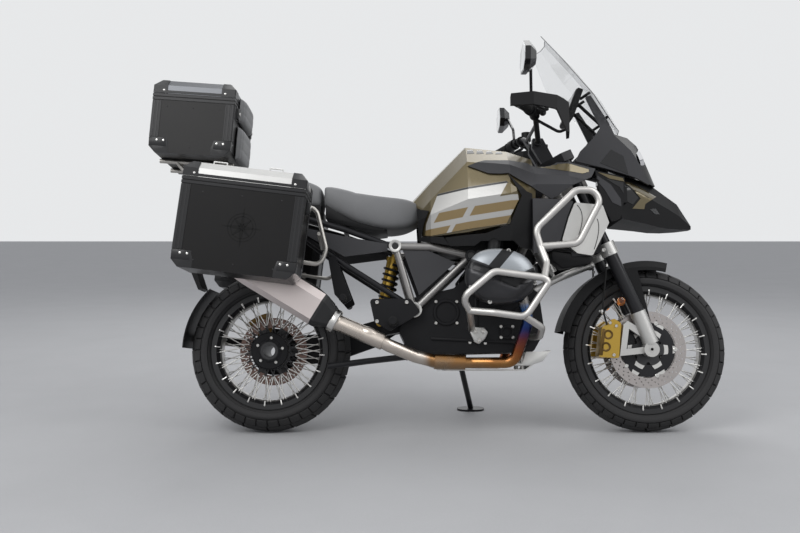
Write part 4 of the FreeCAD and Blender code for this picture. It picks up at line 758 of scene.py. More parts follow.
def drilled_disc(outer, inner, lobes, rows, thick):
    """A brake disc about the Y axis: a flat curve with its holes, given its thickness."""
    start_fresh()
    bpy.ops.curve.primitive_bezier_circle_add(radius=outer)
    piece = bpy.context.object
    curve = piece.data
    curve.dimensions = "2D"
    curve.fill_mode = "BOTH"
    curve.resolution_u = 24
    curve.extrude = thick / 2
    edge = []
    for i in range(LOBE_STEPS):
        a = math.tau * i / LOBE_STEPS
        radius = inner - LOBE_DEPTH * max(0.0, math.cos(lobes * a)) ** 3
        edge.append((radius * math.cos(a), radius * math.sin(a)))
    loops = [edge]
    for radius, count, start, size in rows:
        for i in range(count):
            a = math.tau * i / count + start
            loops.append(oval(radius * math.cos(a), radius * math.sin(a), size, size, 10))
    for loop in loops:
        spline = curve.splines.new("POLY")
        spline.points.add(len(loop) - 1)
        for point, (x, y) in zip(spline.points, loop):
            point.co = (x, y, 0, 1)
        spline.use_cyclic_u = True
    bpy.ops.object.convert(target="MESH")
    piece = bpy.context.object
    piece.data.transform(Matrix.Rotation(math.pi / 2, 4, "X"))
    edit_all(weld, outward)
    return piece


class MOTORCYCLE_OT_discs(bpy.types.Operator):
    """Build the drilled brake discs with their buttons, and the hub fittings"""
    bl_idname = "motorcycle.discs"
    bl_label = "Build the Brake Discs"

    def execute(self, context):
        rows = [(0.121, 30, 0.0, 0.0028), (0.1305, 30, 0.09, 0.0028), (0.141, 30, 0.16, 0.0028)]
        disc = drilled_disc(0.1525, 0.112, 5, rows, 0.0045)
        front = repeated(disc, [Matrix.Translation(FRONT_AXLE + Vector((0, s * 0.066, 0))) for s in (-1, 1)])
        settle(front, "front_drilled_discs", "front_wheel", "disc steel", ["front_discs"])
        rows = [(0.107, 32, 0.0, 0.0028), (0.117, 32, 0.08, 0.0028), (0.127, 32, 0.15, 0.0028)]
        disc = drilled_disc(0.138, 0.098, 6, rows, 0.0045)
        rear = moved(disc, Matrix.Translation(REAR_AXLE + Vector((0, 0.062, 0))))
        settle(rear, "rear_drilled_disc", "rear_wheel", "disc dark", ["rear_disc"])
        button = lathe([(0, -0.005), (0.0085, -0.005), (0.0085, 0.004), (0.0065, 0.0055), (0.003, 0.0055),
                        (0.003, 0.002), (0, 0.002)], 20)
        places = [place for s in (-1, 1) for place in ring_places(
            FRONT_AXLE + Vector((0, s * 0.0665, 0)), 0.1085, 5, 0.0, s)]
        settle(repeated(button, places), "front_disc_buttons", "front_wheel", "bolt steel")
        screw = cap_screw(0.0055, 0.006)
        places = [place for s in (-1, 1) for place in ring_places(
            FRONT_AXLE + Vector((0, s * 0.058, 0)), 0.046, 6, 0.3, s)]
        settle(repeated(screw, places), "front_hub_screws", "front_wheel", "bolt steel")
        carrier = lathe([(0.060, 0.060), (0.108, 0.0625), (0.108, 0.0675), (0.090, 0.0690),
                         (0.060, 0.0665)], 80)
        carrier = moved(both_sides(carrier), Matrix.Translation(FRONT_AXLE))
        settle(carrier, "front_disc_carriers", "front_wheel", "black metal")
        return {"FINISHED"}


def spoke_nipples(axle, radius, half, count):
    """Spoke ends in a row along each edge of the rim."""
    nipple = lathe([(0, -0.011), (0.0032, -0.011), (0.0032, 0.003), (0.0042, 0.003), (0.0042, 0.009),
                    (0.003, 0.011), (0, 0.011)], 10)
    places = []
    for side in (-1, 1):
        for i in range(count):
            a = math.tau * (i + 0.25 * side) / count
            out = Vector((math.cos(a), side * 0.12, math.sin(a)))
            spot = axle + Vector((radius * math.cos(a), side * half, radius * math.sin(a)))
            places.append(aim(spot, out))
    return repeated(nipple, places)


class MOTORCYCLE_OT_wheel_fittings(bpy.types.Operator):
    """Add spoke ends, hub rings and the rear hub's screws"""
    bl_idname = "motorcycle.wheel_fittings"
    bl_label = "Build the Wheel Fittings"

    def execute(self, context):
        settle(spoke_nipples(FRONT_AXLE, 0.232, 0.040, 20), "front_spoke_ends", "front_wheel", "bolt steel")
        settle(spoke_nipples(REAR_AXLE, 0.209, 0.059, 20), "rear_spoke_ends", "rear_wheel", "bolt steel")
        sleeve = lathe([(0.0235, -0.066), (0.0300, -0.066), (0.0325, -0.063), (0.0325, -0.056),
                        (0.0235, -0.056)], 48)
        settle(moved(sleeve, Matrix.Translation(REAR_AXLE)), "rear_axle_ring", "rear_wheel", "bolt steel")
        cap = lathe([(0.034, -0.058), (0.070, -0.058), (0.074, -0.055), (0.074, -0.049), (0.034, -0.049)], 64)
        settle(moved(cap, Matrix.Translation(REAR_AXLE)), "rear_hub_cover", "rear_wheel", "cast black")
        screw = cap_screw(0.006, 0.006)
        places = ring_places(REAR_AXLE + Vector((0, -0.0575, 0)), 0.052, 5, 0.2, -1)
        settle(repeated(screw, places), "rear_hub_screws", "rear_wheel", "bolt steel")
        return {"FINISHED"}


# Seats and pads


# Seat sections: place along the bike, half width, bottom, top, crown of the top
RIDER_SEAT = ((0.2150, 0.112, 0.898, 0.968, 0.006), (0.2180, 0.124, 0.892, 0.980, 0.012),
              (0.2600, 0.134, 0.868, 0.974, 0.014), (0.3340, 0.142, 0.832, 0.955, 0.012),
              (0.3400, 0.142, 0.829, 0.951, 0.009), (0.3460, 0.142, 0.826, 0.951, 0.012),
              (0.4400, 0.148, 0.800, 0.936, 0.010), (0.5000, 0.136, 0.801, 0.932, 0.010),
              (0.5480, 0.112, 0.808, 0.928, 0.012), (0.5900, 0.086, 0.830, 0.914, 0.010),
              (0.6020, 0.072, 0.842, 0.902, 0.006))
PILLION_SEAT = ((-0.1190, 0.102, 0.922, 0.996, 0.004), (-0.1140, 0.114, 0.910, 1.010, 0.008),
                (-0.0400, 0.126, 0.904, 1.013, 0.010), (0.0340, 0.130, 0.900, 1.013, 0.010),
                (0.0400, 0.130, 0.900, 1.009, 0.008), (0.0460, 0.130, 0.899, 1.012, 0.010),
                (0.1300, 0.128, 0.894, 1.006, 0.010), (0.1900, 0.124, 0.892, 0.984, 0.010),
                (0.2080, 0.112, 0.896, 0.964, 0.006))
# A seat's right half, from under its middle up to its top seam: share of the width, share of the height
SEAT_SIDE = ((0.50, 0.0), (0.88, 0.02), (0.97, 0.22), (1.0, 0.52), (0.985, 0.76), (0.93, 0.90),
             (0.865, 0.965))
SEAM = ((0.825, -0.002), (0.800, -0.0055), (0.775, -0.001))


def seat_ring(x, half, low, high, crown):
    """One section of a seat: full flanks, a sewn groove along each side and a crowned middle."""
    right = [(0.0, low)]
    right += [(half * share, low + (high - low) * up) for share, up in SEAT_SIDE]
    right += [(half * share, high + drop) for share, drop in SEAM]
    right += [(half * 0.42, high + crown * 0.8), (0.0, high + crown)]
    left = [(-y, z) for y, z in reversed(right[1:-1])]
    return [Vector((x, y, z)) for y, z in right + left]


def seat(sections):
    piece = loft([seat_ring(*section) for section in sections])
    return modify(piece, "SUBSURF", levels=2, render_levels=2)


class MOTORCYCLE_OT_seats(bpy.types.Operator):
    """Build the padded seats on their base pans"""
    bl_idname = "motorcycle.seats"
    bl_label = "Build the Seats"

    def execute(self, context):
        for name, sections, node in (("rider", RIDER_SEAT, "rider_seat"),
                                     ("pillion", PILLION_SEAT, "pillion_seat")):
            piece = settle(seat(sections), f"{name}_cushion", "frame", "seat cover", [node], 60.0)
        rider = plate([(0.222, 0.902), (0.222, 0.846), (0.310, 0.816), (0.420, 0.794), (0.470, 0.800),
                       (0.330, 0.840)], -0.118, 0.118, 0.004)
        pillion = plate([(-0.114, 0.916), (-0.114, 0.902), (0.060, 0.886), (0.204, 0.862), (0.204, 0.900)],
                        -0.112, 0.112, 0.004)
        settle(merged([rider, pillion]), "seat_pans", "frame", "plastic")
        return {"FINISHED"}


def pillow(half, tall, thick):
    """A pad that stands on the YZ plane: crowned, its rim rounded, with two sewn channels."""
    start_fresh()
    bpy.ops.mesh.primitive_grid_add(x_subdivisions=28, y_subdivisions=20, size=2.0)
    piece = bpy.context.object
    for vertex in piece.data.vertices:
        y, up = vertex.co.x, vertex.co.y
        rim = max(0.0, 1 - abs(y) ** 5) ** 0.4 * max(0.0, 1 - abs(up) ** 5) ** 0.4
        channel = sum(math.exp(-((up - at) / 0.045) ** 2) for at in (-0.34, 0.34))
        channel += math.exp(-((abs(y) - 0.80) / 0.03) ** 2) * 0.8
        deep = thick * (0.18 + 0.82 * rim) - 0.0035 * channel * rim
        pull = 1 - 0.05 * up * up
        vertex.co = (deep, half * y * pull, tall * up * (1 - 0.06 * y * y))
    bpy.ops.object.mode_set(mode="EDIT")
    bpy.ops.mesh.select_mode(type="EDGE")
    bpy.ops.mesh.select_all(action="DESELECT")
    bpy.ops.mesh.select_non_manifold()
    bpy.ops.mesh.extrude_region_move(TRANSFORM_OT_translate={"value": (-thick * 0.18, 0, 0)})
    bpy.ops.mesh.fill_holes(sides=0)
    bpy.ops.object.mode_set(mode="OBJECT")
    edit_all(outward)
    return modify(piece, "SUBSURF", levels=1, render_levels=1)


# Cases


class Case:
    """One case's sizes, and the matrix from its own lengthwise, sideways and upward axes to the bike's."""

    def __init__(self, name, corner, tilt, long, height, half, middle, lid):
        self.name, self.length, self.height, self.half, self.lid = name, long, height, half, lid
        turn = Matrix.Rotation(math.radians(tilt), 4, "Y")
        self.place = Matrix.Translation((corner[0], middle, corner[1])) @ turn

    def corners(self):
        """A matrix for each upright edge: the corner at the origin, the walls along +X and +Y."""
        made = []
        for along in (1, -1):
            for side in (1, -1):
                spot = Matrix.Translation((0 if along > 0 else self.length, -side * self.half, 0))
                made.append(spot @ Matrix.Diagonal((along, side, 1, 1)))
        return made

    def fix(self, piece, what, body, finish, **settings):
        return settle(moved(piece, self.place), f"{self.name}_{what}", body, finish, **settings)


# Name, lower rear corner, tilt in degrees, length, height, half width, middle across the bike, lid's body
CASES = (Case("left_case", (-0.300, 0.613), 6.8, 0.446, 0.330, 0.1025, 0.3945, "left_lid"),
         Case("right_case", (-0.300, 0.613), 6.8, 0.446, 0.330, 0.1025, -0.3945, "right_lid"),
         Case("top_case", (-0.470, 1.096), 4.0, 0.322, 0.240, 0.205, 0.0, "top_lid"))
CUT = 0.026                  # cut corners of the cases
LID_HEIGHT = 0.058
EDGE_PROUD = 0.0022          # how far the edges and the lids' corners stand off the walls
CAP_PROUD = 0.0018           # and the lower corner caps


def edge_profile(low, high):
    """An angle round an upright edge, with two ridges on each leg."""
    t, leg = EDGE_PROUD, 0.034
    one = [(leg, 0.0), (leg, -t), (leg - 0.004, -t), (leg - 0.005, -t * 0.5), (leg - 0.009, -t * 0.5),
           (leg - 0.010, -t), (leg - 0.018, -t), (leg - 0.019, -t * 0.5), (leg - 0.023, -t * 0.5),
           (leg - 0.024, -t), (0.002, -t)]
    other = [(y, x) for x, y in reversed(one)]
    return floor_plate(one + other + [(0.0, 0.0)], low, high)


def corner_cap():
    """A moulded cap over a lower corner: its two walls and the cut underside.

    Both walls thin downwards, because the cases' lower edges are the motorcycle's widest lines.
    """
    t, low, top, foot = CAP_PROUD, CUT + 0.001, 0.0615, 0.06
    angle = floor_plate([(0.070, 0.0), (0.066, -t), (0.0, -t), (-t * 0.7, -t * 0.7), (-t, 0.0), (-t, 0.046),
                         (0.0, 0.050), (0.0, 0.0)], low, top, 0.001)
    for vertex in angle.data.vertices:
        if vertex.co.x < 0:
            vertex.co.x *= foot + (1 - foot) * (vertex.co.z - low) / (top - low)
    wing = plate([(-0.0005, CUT), (CUT, -0.0005), (0.078, -0.0005), (0.078, 0.030), (0.068, top),
                  (0.0, top)], -t, 0.0, 0.001)
    for vertex in wing.data.vertices:
        vertex.co.y *= foot + (1 - foot) * max(vertex.co.z, 0.0) / top
    return merged([angle, wing])


def lid_cap():
    """A wedge over a lid's corner, as tall as the lid and sloping in with it."""
    t, leg = EDGE_PROUD, 0.054
    rings = []
    for up, inset in ((0.001, 0.0), (LID_HEIGHT - CUT, 0.0), (LID_HEIGHT + t * 0.5, CUT * 0.96)):
        out = inset - t
        rings.append([Vector((x, y, up)) for x, y in (
            (leg, out), (out + 0.004, out), (out, out + 0.004), (out, leg), (inset, leg), (inset, inset),
            (leg, inset))])
    wedge = loft(rings)
    top = floor_plate([(leg, CUT - t), (CUT, CUT - t), (CUT - t, CUT), (CUT - t, leg), (leg - 0.012, leg)],
                      LID_HEIGHT - 0.001, LID_HEIGHT + t * 0.5)
    return merged([wedge, top])


def belt(case, low, high, proud):
    """A flat band round a case's walls."""
    start_fresh()
    bpy.ops.mesh.primitive_circle_add(vertices=4, fill_type="NOTHING")
    piece = bpy.context.object
    corners = ((0, -case.half), (case.length, -case.half), (case.length, case.half), (0, case.half))
    for vertex, (x, y) in zip(piece.data.vertices, corners):
        vertex.co = (x, y, low)
    edit_all(lambda: bpy.ops.mesh.extrude_region_move(TRANSFORM_OT_translate={"value": (0, 0, high - low)}),
             outward)
    modify(piece, "SOLIDIFY", thickness=proud, offset=1.0, use_even_offset=True)
    return round_edges(piece, proud * 0.3, 1)


def handle_eye():
    """A bent rod between two feet, lying along X."""
    reach, rise = 0.024, 0.011
    rod = tube([(-reach, 0, 0), (-reach, 0, rise), (-reach + 0.002, 0, rise), (reach - 0.002, 0, rise),
                (reach, 0, rise), (reach, 0, 0)], 0.0028)
    foot = moved(rivet(0.008, 0.003), Matrix.Rotation(math.pi / 2, 4, "X"))
    return merged([rod, repeated(foot, [Matrix.Translation((s * reach, 0, 0)) for s in (-1, 1)])])


def wind_rose(radius):
    """A ring with eight rays, half a millimetre proud, facing -Y."""
    rays = []
    for i in range(8):
        tall = radius * (1.45 if i % 2 == 0 else 0.92)
        ray = plate([(0, 0), (radius * 0.13, radius * 0.20), (0, tall), (-radius * 0.13, radius * 0.20)],
                    -0.0006, 0.0)
        rays.append(moved(ray, Matrix.Rotation(math.tau * i / 8, 4, "Y")))
    rings = [lathe([(radius * r, -0.0006), (radius * (r + 0.05), -0.0006), (radius * (r + 0.05), 0),
                    (radius * r, 0)], 64) for r in (0.74, 0.95)]
    return merged(rays + rings)


def latch():
    """A latch on a front wall, facing +X: backing plate and lever."""
    back = floor_plate([(0, -0.022), (0.004, -0.022), (0.004, 0.022), (0, 0.022)], -0.080, -0.020, 0.001)
    lever = floor_plate([(0.003, -0.015), (0.013, -0.012), (0.013, 0.012), (0.003, 0.015)], -0.074, -0.030,
                        0.002)
    return merged([back, lever])


class MOTORCYCLE_OT_cases(bpy.types.Operator):
    """Dress the three cases: edges, corner caps, rivets, bands, latches, handle eyes and wind roses"""
    bl_idname = "motorcycle.cases"
    bl_label = "Dress the Cases"

    def execute(self, context):
        for case in CASES:
            self.dress_body(case)
            self.dress_lid(case)
        return {"FINISHED"}

    def dress_body(self, case):
        profile = repeated(edge_profile(0.064, case.height - 0.030), case.corners())
        caps = repeated(corner_cap(), case.corners())
        bands = [belt(case, case.height - up - 0.011, case.height - up, 0.0024) for up in (0.002, 0.016)]
        case.fix(profile, "edges", "frame", "case corner")
        case.fix(merged([caps] + bands), "corner_caps", "frame", "case corner")
        spots = []
        for corner in case.corners():
            for across in (0.030, 0.056):
                spots.append(corner @ aim((across, -CAP_PROUD, 0.050), (0, -1, 0)))
            spots.append(corner @ aim((-CAP_PROUD * 0.4, 0.030, 0.055), (-1, 0, 0)))
        case.fix(repeated(rivet(0.0046, 0.0012), spots), "rivets", "frame", "bolt steel")
        lines = []
        for side in (-1, 1):
            for share in (0.18, 0.5, 0.82):
                for up in (0.030, case.height - 0.052):
                    lines.append(aim((case.length * share, side * case.half, up), (0, side, 0)))
        case.fix(repeated(rivet(0.0030, 0.0014), lines), "panel_rivets", "frame", "case corner")
        if case.lid != "top_lid":
            side = 1 if case.place.translation.y > 0 else -1
            place = Matrix.Translation((case.length * 0.53, side * case.half, case.height * 0.50))
            if side > 0:
                place = place @ Matrix.Rotation(math.pi, 4, "Z")
            case.fix(moved(wind_rose(0.052), place), "wind_rose", "frame", "rose")
            spots = [(case.length, 0.0)]
        else:
            spots = [(case.length, -0.15), (case.length, 0.15)]
        places = [Matrix.Translation((x, y, case.height)) for x, y in spots]
        case.fix(repeated(latch(), places), "latches", "frame", "case corner")
        barrel = lathe([(0, 0), (0.0075, 0), (0.0075, 0.003), (0.0055, 0.004), (0.002, 0.004), (0.002, 0.002),
                        (0, 0.002)], 24)
        turn = Matrix.Rotation(-math.pi / 2, 4, "Z")
        places = [Matrix.Translation((x + 0.013, y, case.height - 0.052)) @ turn for x, y in spots]
        case.fix(repeated(barrel, places), "key_barrels", "frame", "bolt steel")

    def dress_lid(self, case):
        base = Matrix.Translation((0, 0, case.height + 0.0003))
        case.fix(repeated(lid_cap(), [base @ corner for corner in case.corners()]), "lid_corners", case.lid,
                 "case corner")
        places, studs = [], []
        side_y = case.half - 0.042
        for share in (0.27, 0.73):
            for side in (-1, 1):
                places.append(base @ Matrix.Translation((case.length * share, side * side_y, LID_HEIGHT)))
        if case.lid != "top_lid":
            case.fix(repeated(handle_eye(), places), "handle_eyes", case.lid, "lid silver")
        for corner in case.corners():
            studs.append(base @ corner @ aim((0.040, -EDGE_PROUD, 0.012), (0, -1, 0)))
        case.fix(repeated(rivet(0.0046, 0.0024), studs), "lid_rivets", case.lid, "bolt steel")
        rim = belt(case, case.height + 0.002, case.height + 0.012, 0.0018)
        case.fix(rim, "lid_rim", case.lid, "case corner")


class MOTORCYCLE_OT_back_pads(bpy.types.Operator):
    """Build the two back pads on the top case"""
    bl_idname = "motorcycle.back_pads"
    bl_label = "Build the Back Pads"

    def execute(self, context):
        case = CASES[2]
        for name, middle, tall, body, node in (("lower_back_pad", 0.079, 0.072, "frame", "back_pad"),
                                               ("upper_back_pad", 0.215, 0.052, "top_lid", "lid_pad")):
            pad = moved(pillow(0.128, tall, 0.028), Matrix.Translation((case.length + 0.0008, 0, middle)))
            piece = settle(moved(pad, case.place), name, body, "seat cover", [node], 60.0)
        return {"FINISHED"}


# Engine, frame and guards


HEAD = (0.896, 0.590)
HEAD_RING = ((-0.128, -0.046), (-0.132, 0.034), (-0.084, 0.100), (0.030, 0.106), (0.112, 0.062),
             (0.136, -0.028), (0.076, -0.092), (-0.050, -0.106))
CASE_FACE = 0.132            # side face of the crankcase, from the middle plane


def head_ring(scale):
    return [(HEAD[0] + a * scale, HEAD[1] + b * scale) for a, b in HEAD_RING]


def on_side(piece, x, y, z):
    """Put a piece that faces -Y at a place on the right side."""
    return moved(piece, Matrix.Translation((x, y, z)))


def screws(spots, y, radius=0.006, height=0.005):
    """Cap screws at side-view spots, facing outwards on both sides."""
    places = [aim((x, s * y, z), (0, s, 0)) for s in (-1, 1) for x, z in spots]
    return repeated(cap_screw(radius, height), places)


def ring_boss(outer, inner, proud, depth=0.004):
    """A raised ring round a sunk middle, facing -Y."""
    return lathe([(0, 0.002), (outer, 0.002), (outer, -proud * 0.7), (outer - proud * 0.3, -proud),
                  (inner + 0.002, -proud), (inner, -proud * 0.7), (inner, depth * 0.2), (0, depth * 0.2)], 40)


def cut_corners(ring, rounds):
    """A closed outline with its corners cut again and again, to a smooth curve."""
    for _ in range(rounds):
        finer = []
        for i, (x, z) in enumerate(ring):
            nx, nz = ring[(i + 1) % len(ring)]
            finer += [(0.75 * x + 0.25 * nx, 0.75 * z + 0.25 * nz),
                      (0.25 * x + 0.75 * nx, 0.25 * z + 0.75 * nz)]
        ring = finer
    return ring


def vee_height(x):
    """Height of the V-shaped edge across the head cover."""
    return VEE_TIP[1] + max((VEE_TIP[0] - x) * VEE_REAR_SLOPE, (x - VEE_TIP[0]) * VEE_FRONT_SLOPE)


def domed_cover():
    """The right head cover: a smooth dome with a sunk V and a raised lip below it."""
    dome = ((1.02, 0.2870), (1.02, 0.3340), (0.995, 0.3450), (0.94, 0.3530), (0.87, 0.3590), (0.80, 0.3630),
            (0.72, 0.3670), (0.64, 0.3700), (0.56, 0.3720), (0.48, 0.3735), (0.40, 0.3745), (0.32, 0.3752),
            (0.24, 0.3757), (0.16, 0.3760), (0.08, 0.3760), (0.01, 0.3760))
    outline = cut_corners(HEAD_RING, 3)
    rings = []
    for scale, reach in dome:
        ring = []
        for a, b in outline:
            x, z = HEAD[0] + a * scale, HEAD[1] + b * scale
            above = z - vee_height(x)
            sunk = 0.0
            if scale < 0.9:
                groove = 1 if 0.0 < above < 0.032 else 0
                ridge = 1 if -0.022 < above < -0.002 else 0
                sunk = 0.0060 * groove - 0.0022 * ridge
            ring.append(Vector((x, -reach + sunk, z)))
        rings.append(ring)
    return loft(rings)


def wrapped(points, node, proud, depth=0.003, cuts=5):
    """A thin panel laid over a painted part: its outline is thrown on the part along Y."""
    start_fresh()
    bpy.ops.mesh.primitive_circle_add(vertices=len(points), fill_type="NGON")
    piece = bpy.context.object
    for vertex, (x, z) in zip(piece.data.vertices, points):
        vertex.co = (x, -0.6, z)
    edit_all(lambda: bpy.ops.mesh.quads_convert_to_tris(), lambda: bpy.ops.mesh.subdivide(number_cuts=cuts))
    piece.matrix_world = BIKE
    modify(piece, "SHRINKWRAP", target=frame["nodes"][node], wrap_method="PROJECT", use_project_y=True,
           use_positive_direction=True, use_negative_direction=False)
    piece.matrix_world = Matrix.Identity(4)
    pick_faces(piece, lambda face: min(piece.data.vertices[i].co.y for i in face.vertices) < -0.59)
    bpy.ops.mesh.delete(type="FACE")
    bpy.ops.object.mode_set(mode="OBJECT")
    if not piece.data.polygons:
        raise ValueError(f"a panel misses {node}")
    piece.data.transform(Matrix.Translation((0, -proud, 0)))
    edit_all(lambda: bpy.ops.mesh.extrude_region_move(TRANSFORM_OT_translate={"value": (0, depth, 0)}),
             outward)
    return piece


class MOTORCYCLE_OT_engine_details(bpy.types.Operator):
    """Build the domed head covers, and add fins, gaskets, bosses, screws and brackets to the engine"""
    bl_idname = "motorcycle.engine_details"
    bl_label = "Dress the Engine"

    def execute(self, context):
        # the covers' material paints a reflection on their upper half and shade in the sunk V
        settle(both_sides(domed_cover()), "domed_covers", "frame", "cover paint and painted light", ["head_covers"], 50.0)
        flange = [(x, -0.3000, z) for x, z in head_ring(0.985)]
        bead = tube(flange, 0.0042, smooth=False, closed=True, sides=2)
        settle(both_sides(bead), "cover_gaskets", "frame", "cast black")
        corners = [head_ring(0.90)[i] for i in (0, 3, 5, 7)]
        settle(screws(corners, 0.3440, 0.0080, 0.009), "cover_screws", "frame", "bolt steel")
        fins = []
        for i in range(7):
            z = 0.528 + 0.020 * i
            fins.append(plate([(0.786, z), (1.006, z + 0.002), (1.006, z + 0.006), (0.786, z + 0.004)],
                              -0.330, -0.296, 0.001))
        settle(both_sides(merged(fins)), "head_fins", "frame", "cast black")
        self.crankcase()
        return {"FINISHED"}

    def crankcase(self):
        bosses = [on_side(ring_boss(0.028, 0.017, 0.007), 0.937, -CASE_FACE, 0.392),
                  on_side(ring_boss(0.052, 0.040, 0.008), 0.700, -CASE_FACE, 0.470),
                  on_side(ring_boss(0.022, 0.012, 0.006), 0.985, -CASE_FACE, 0.470)]
        rib = plate([(0.640, 0.372), (1.020, 0.352), (1.020, 0.344), (0.640, 0.362)], -CASE_FACE - 0.008,
                    -CASE_FACE + 0.004, 0.002)
        web = plate([(0.812, 0.360), (0.824, 0.360), (0.824, 0.560), (0.812, 0.560)], -CASE_FACE - 0.009,
                    -CASE_FACE + 0.004, 0.002)
        settle(both_sides(merged(bosses + [rib, web])), "crankcase_bosses", "frame", "cast black")
        spots = [(0.914, 0.372), (0.960, 0.372), (0.914, 0.414), (0.960, 0.414), (0.792, 0.352),
                 (0.852, 0.349), (0.660, 0.428), (0.742, 0.428), (0.660, 0.512), (0.742, 0.512),
                 (1.004, 0.356)]
        settle(screws(spots, CASE_FACE + 0.001, 0.0062, 0.006), "crankcase_screws", "frame", "bolt steel")
        bracket = [(0.790, 0.392), (0.806, 0.412), (0.846, 0.410), (0.862, 0.390), (0.850, 0.366),
                   (0.826, 0.344), (0.808, 0.352)]
        piece = both_sides(plate(bracket, -0.158, -CASE_FACE - 0.0005, 0.005))
        settle(piece, "guard_brackets", "frame", "cast silver")
        settle(screws([(0.812, 0.394), (0.843, 0.394), (0.826, 0.360)], 0.1575, 0.0075, 0.007),
               "bracket_screws", "frame", "bolt steel")
        wing = [(0.700, 0.262), (0.795, 0.286), (0.924, 0.295), (0.944, 0.276), (0.994, 0.270),
                (1.012, 0.316), (1.104, 0.318), (1.076, 0.279), (1.023, 0.262)]
        blade = plate(wing, -0.1335, -0.1295, 0.001)
        settle(both_sides(blade), "skid_wings", "frame", "skid metal")
        slots = [plate([(x, 0.270), (x + 0.026, 0.273), (x + 0.032, 0.281), (x + 0.006, 0.278)], -0.1342,
                       -0.133, 0.0002) for x in (0.812, 0.868)]
        settle(both_sides(merged(slots)), "skid_slots", "frame", "gloss black")


def helix(radius, wire, turns, rise):
    """A coil spring along Y."""
    steps = 14
    count = int(turns * steps)
    points = [(radius * math.cos(math.tau * i / steps), rise * i / count,
               radius * math.sin(math.tau * i / steps)) for i in range(count + 1)]
    return tube(points, wire, sides=2)


class MOTORCYCLE_OT_frame_details(bpy.types.Operator):
    """Add node rings, the shock's spring, peg rubbers and the silencer's band and outlet"""
    bl_idname = "motorcycle.frame_details"
    bl_label = "Dress the Frame"

    def execute(self, context):
        rings = [on_side(ring_boss(0.030, 0.019, 0.004), 0.575, -0.168, 0.478),
                 on_side(ring_boss(0.025, 0.014, 0.004), 0.500, -0.168, 0.728)]
        settle(both_sides(merged(rings)), "node_rings", "frame", "cast silver")
        front = on_side(ring_boss(0.023, 0.013, 0.005), 0.797, -0.154, 0.692)
        settle(both_sides(front), "front_node_rings", "frame", "black metal")
        caps = [on_side(lathe([(0, 0.001), (0.0135, 0.001), (0.0125, -0.0016), (0, -0.0022)], 24), x, y, z)
                for x, y, z in ((0.575, -0.1668, 0.478), (0.500, -0.1668, 0.728), (0.797, -0.1528, 0.692))]
        settle(both_sides(merged(caps)), "node_bores", "frame", "gloss black")
        low, high = Vector((0.4597, 0, 0.512)), Vector((0.489, 0, 0.672))
        coil = moved(helix(0.031, 0.0052, 7, (high - low).length), aim(low, high - low))
        settle(coil, "shock_spring", "frame", "black metal")
        self.pegs()
        self.silencer()
        return {"FINISHED"}

    def pegs(self):
        profile = [(0.0132, 0.0)]
        for i in range(9):
            at = 0.004 + i * 0.0125
            profile += [(0.0132, at), (0.0172, at + 0.001), (0.0172, at + 0.007), (0.0132, at + 0.008)]
        profile.append((0.0132, 0.118))
        rubber = lathe(profile, 28)
        places = [aim((0.492, s * 0.180, 0.428), (0, s, 0)) for s in (-1, 1)]
        settle(repeated(rubber, places), "peg_rubbers", "frame", "rubber")
        sleeve = lathe([(0.0112, 0.0), (0.0145, 0.001), (0.0145, 0.094), (0.0112, 0.096)], 24)
        places = [aim((0.300, s * 0.150, 0.520), (0, s, 0)) for s in (-1, 1)]
        settle(repeated(sleeve, places), "passenger_peg_rubbers", "frame", "rubber")
        spots = [(0.430, 0.506), (0.545, 0.506), (0.430, 0.432)]
        settle(screws(spots, 0.1802, 0.0075, 0.007), "hanger_screws", "frame", "bolt steel")

    def silencer(self):
        start = Vector((SILENCER_IN[0], -0.206, SILENCER_IN[1]))
        end = Vector((-0.190, -0.206, 0.712))
        along = (end - start).normalized()
        collar = lathe([(0.031, -0.004), (0.044, -0.004), (0.046, 0.0), (0.046, 0.018), (0.043, 0.021),
                        (0.031, 0.021)], 48)
        band = moved(collar, aim(start + along * 0.002, -along))
        settle(band, "silencer_inlet_band", "frame", "bolt steel")
        outlet = lathe([(0.0, -0.004), (0.022, -0.004), (0.022, -0.0005), (0.034, 0.0), (0.036, 0.0022),
                        (0.034, 0.0026), (0.0, -0.001)], 40)
        settle(moved(outlet, aim(end, along)), "silencer_outlet", "frame", "gloss black")


# Front end


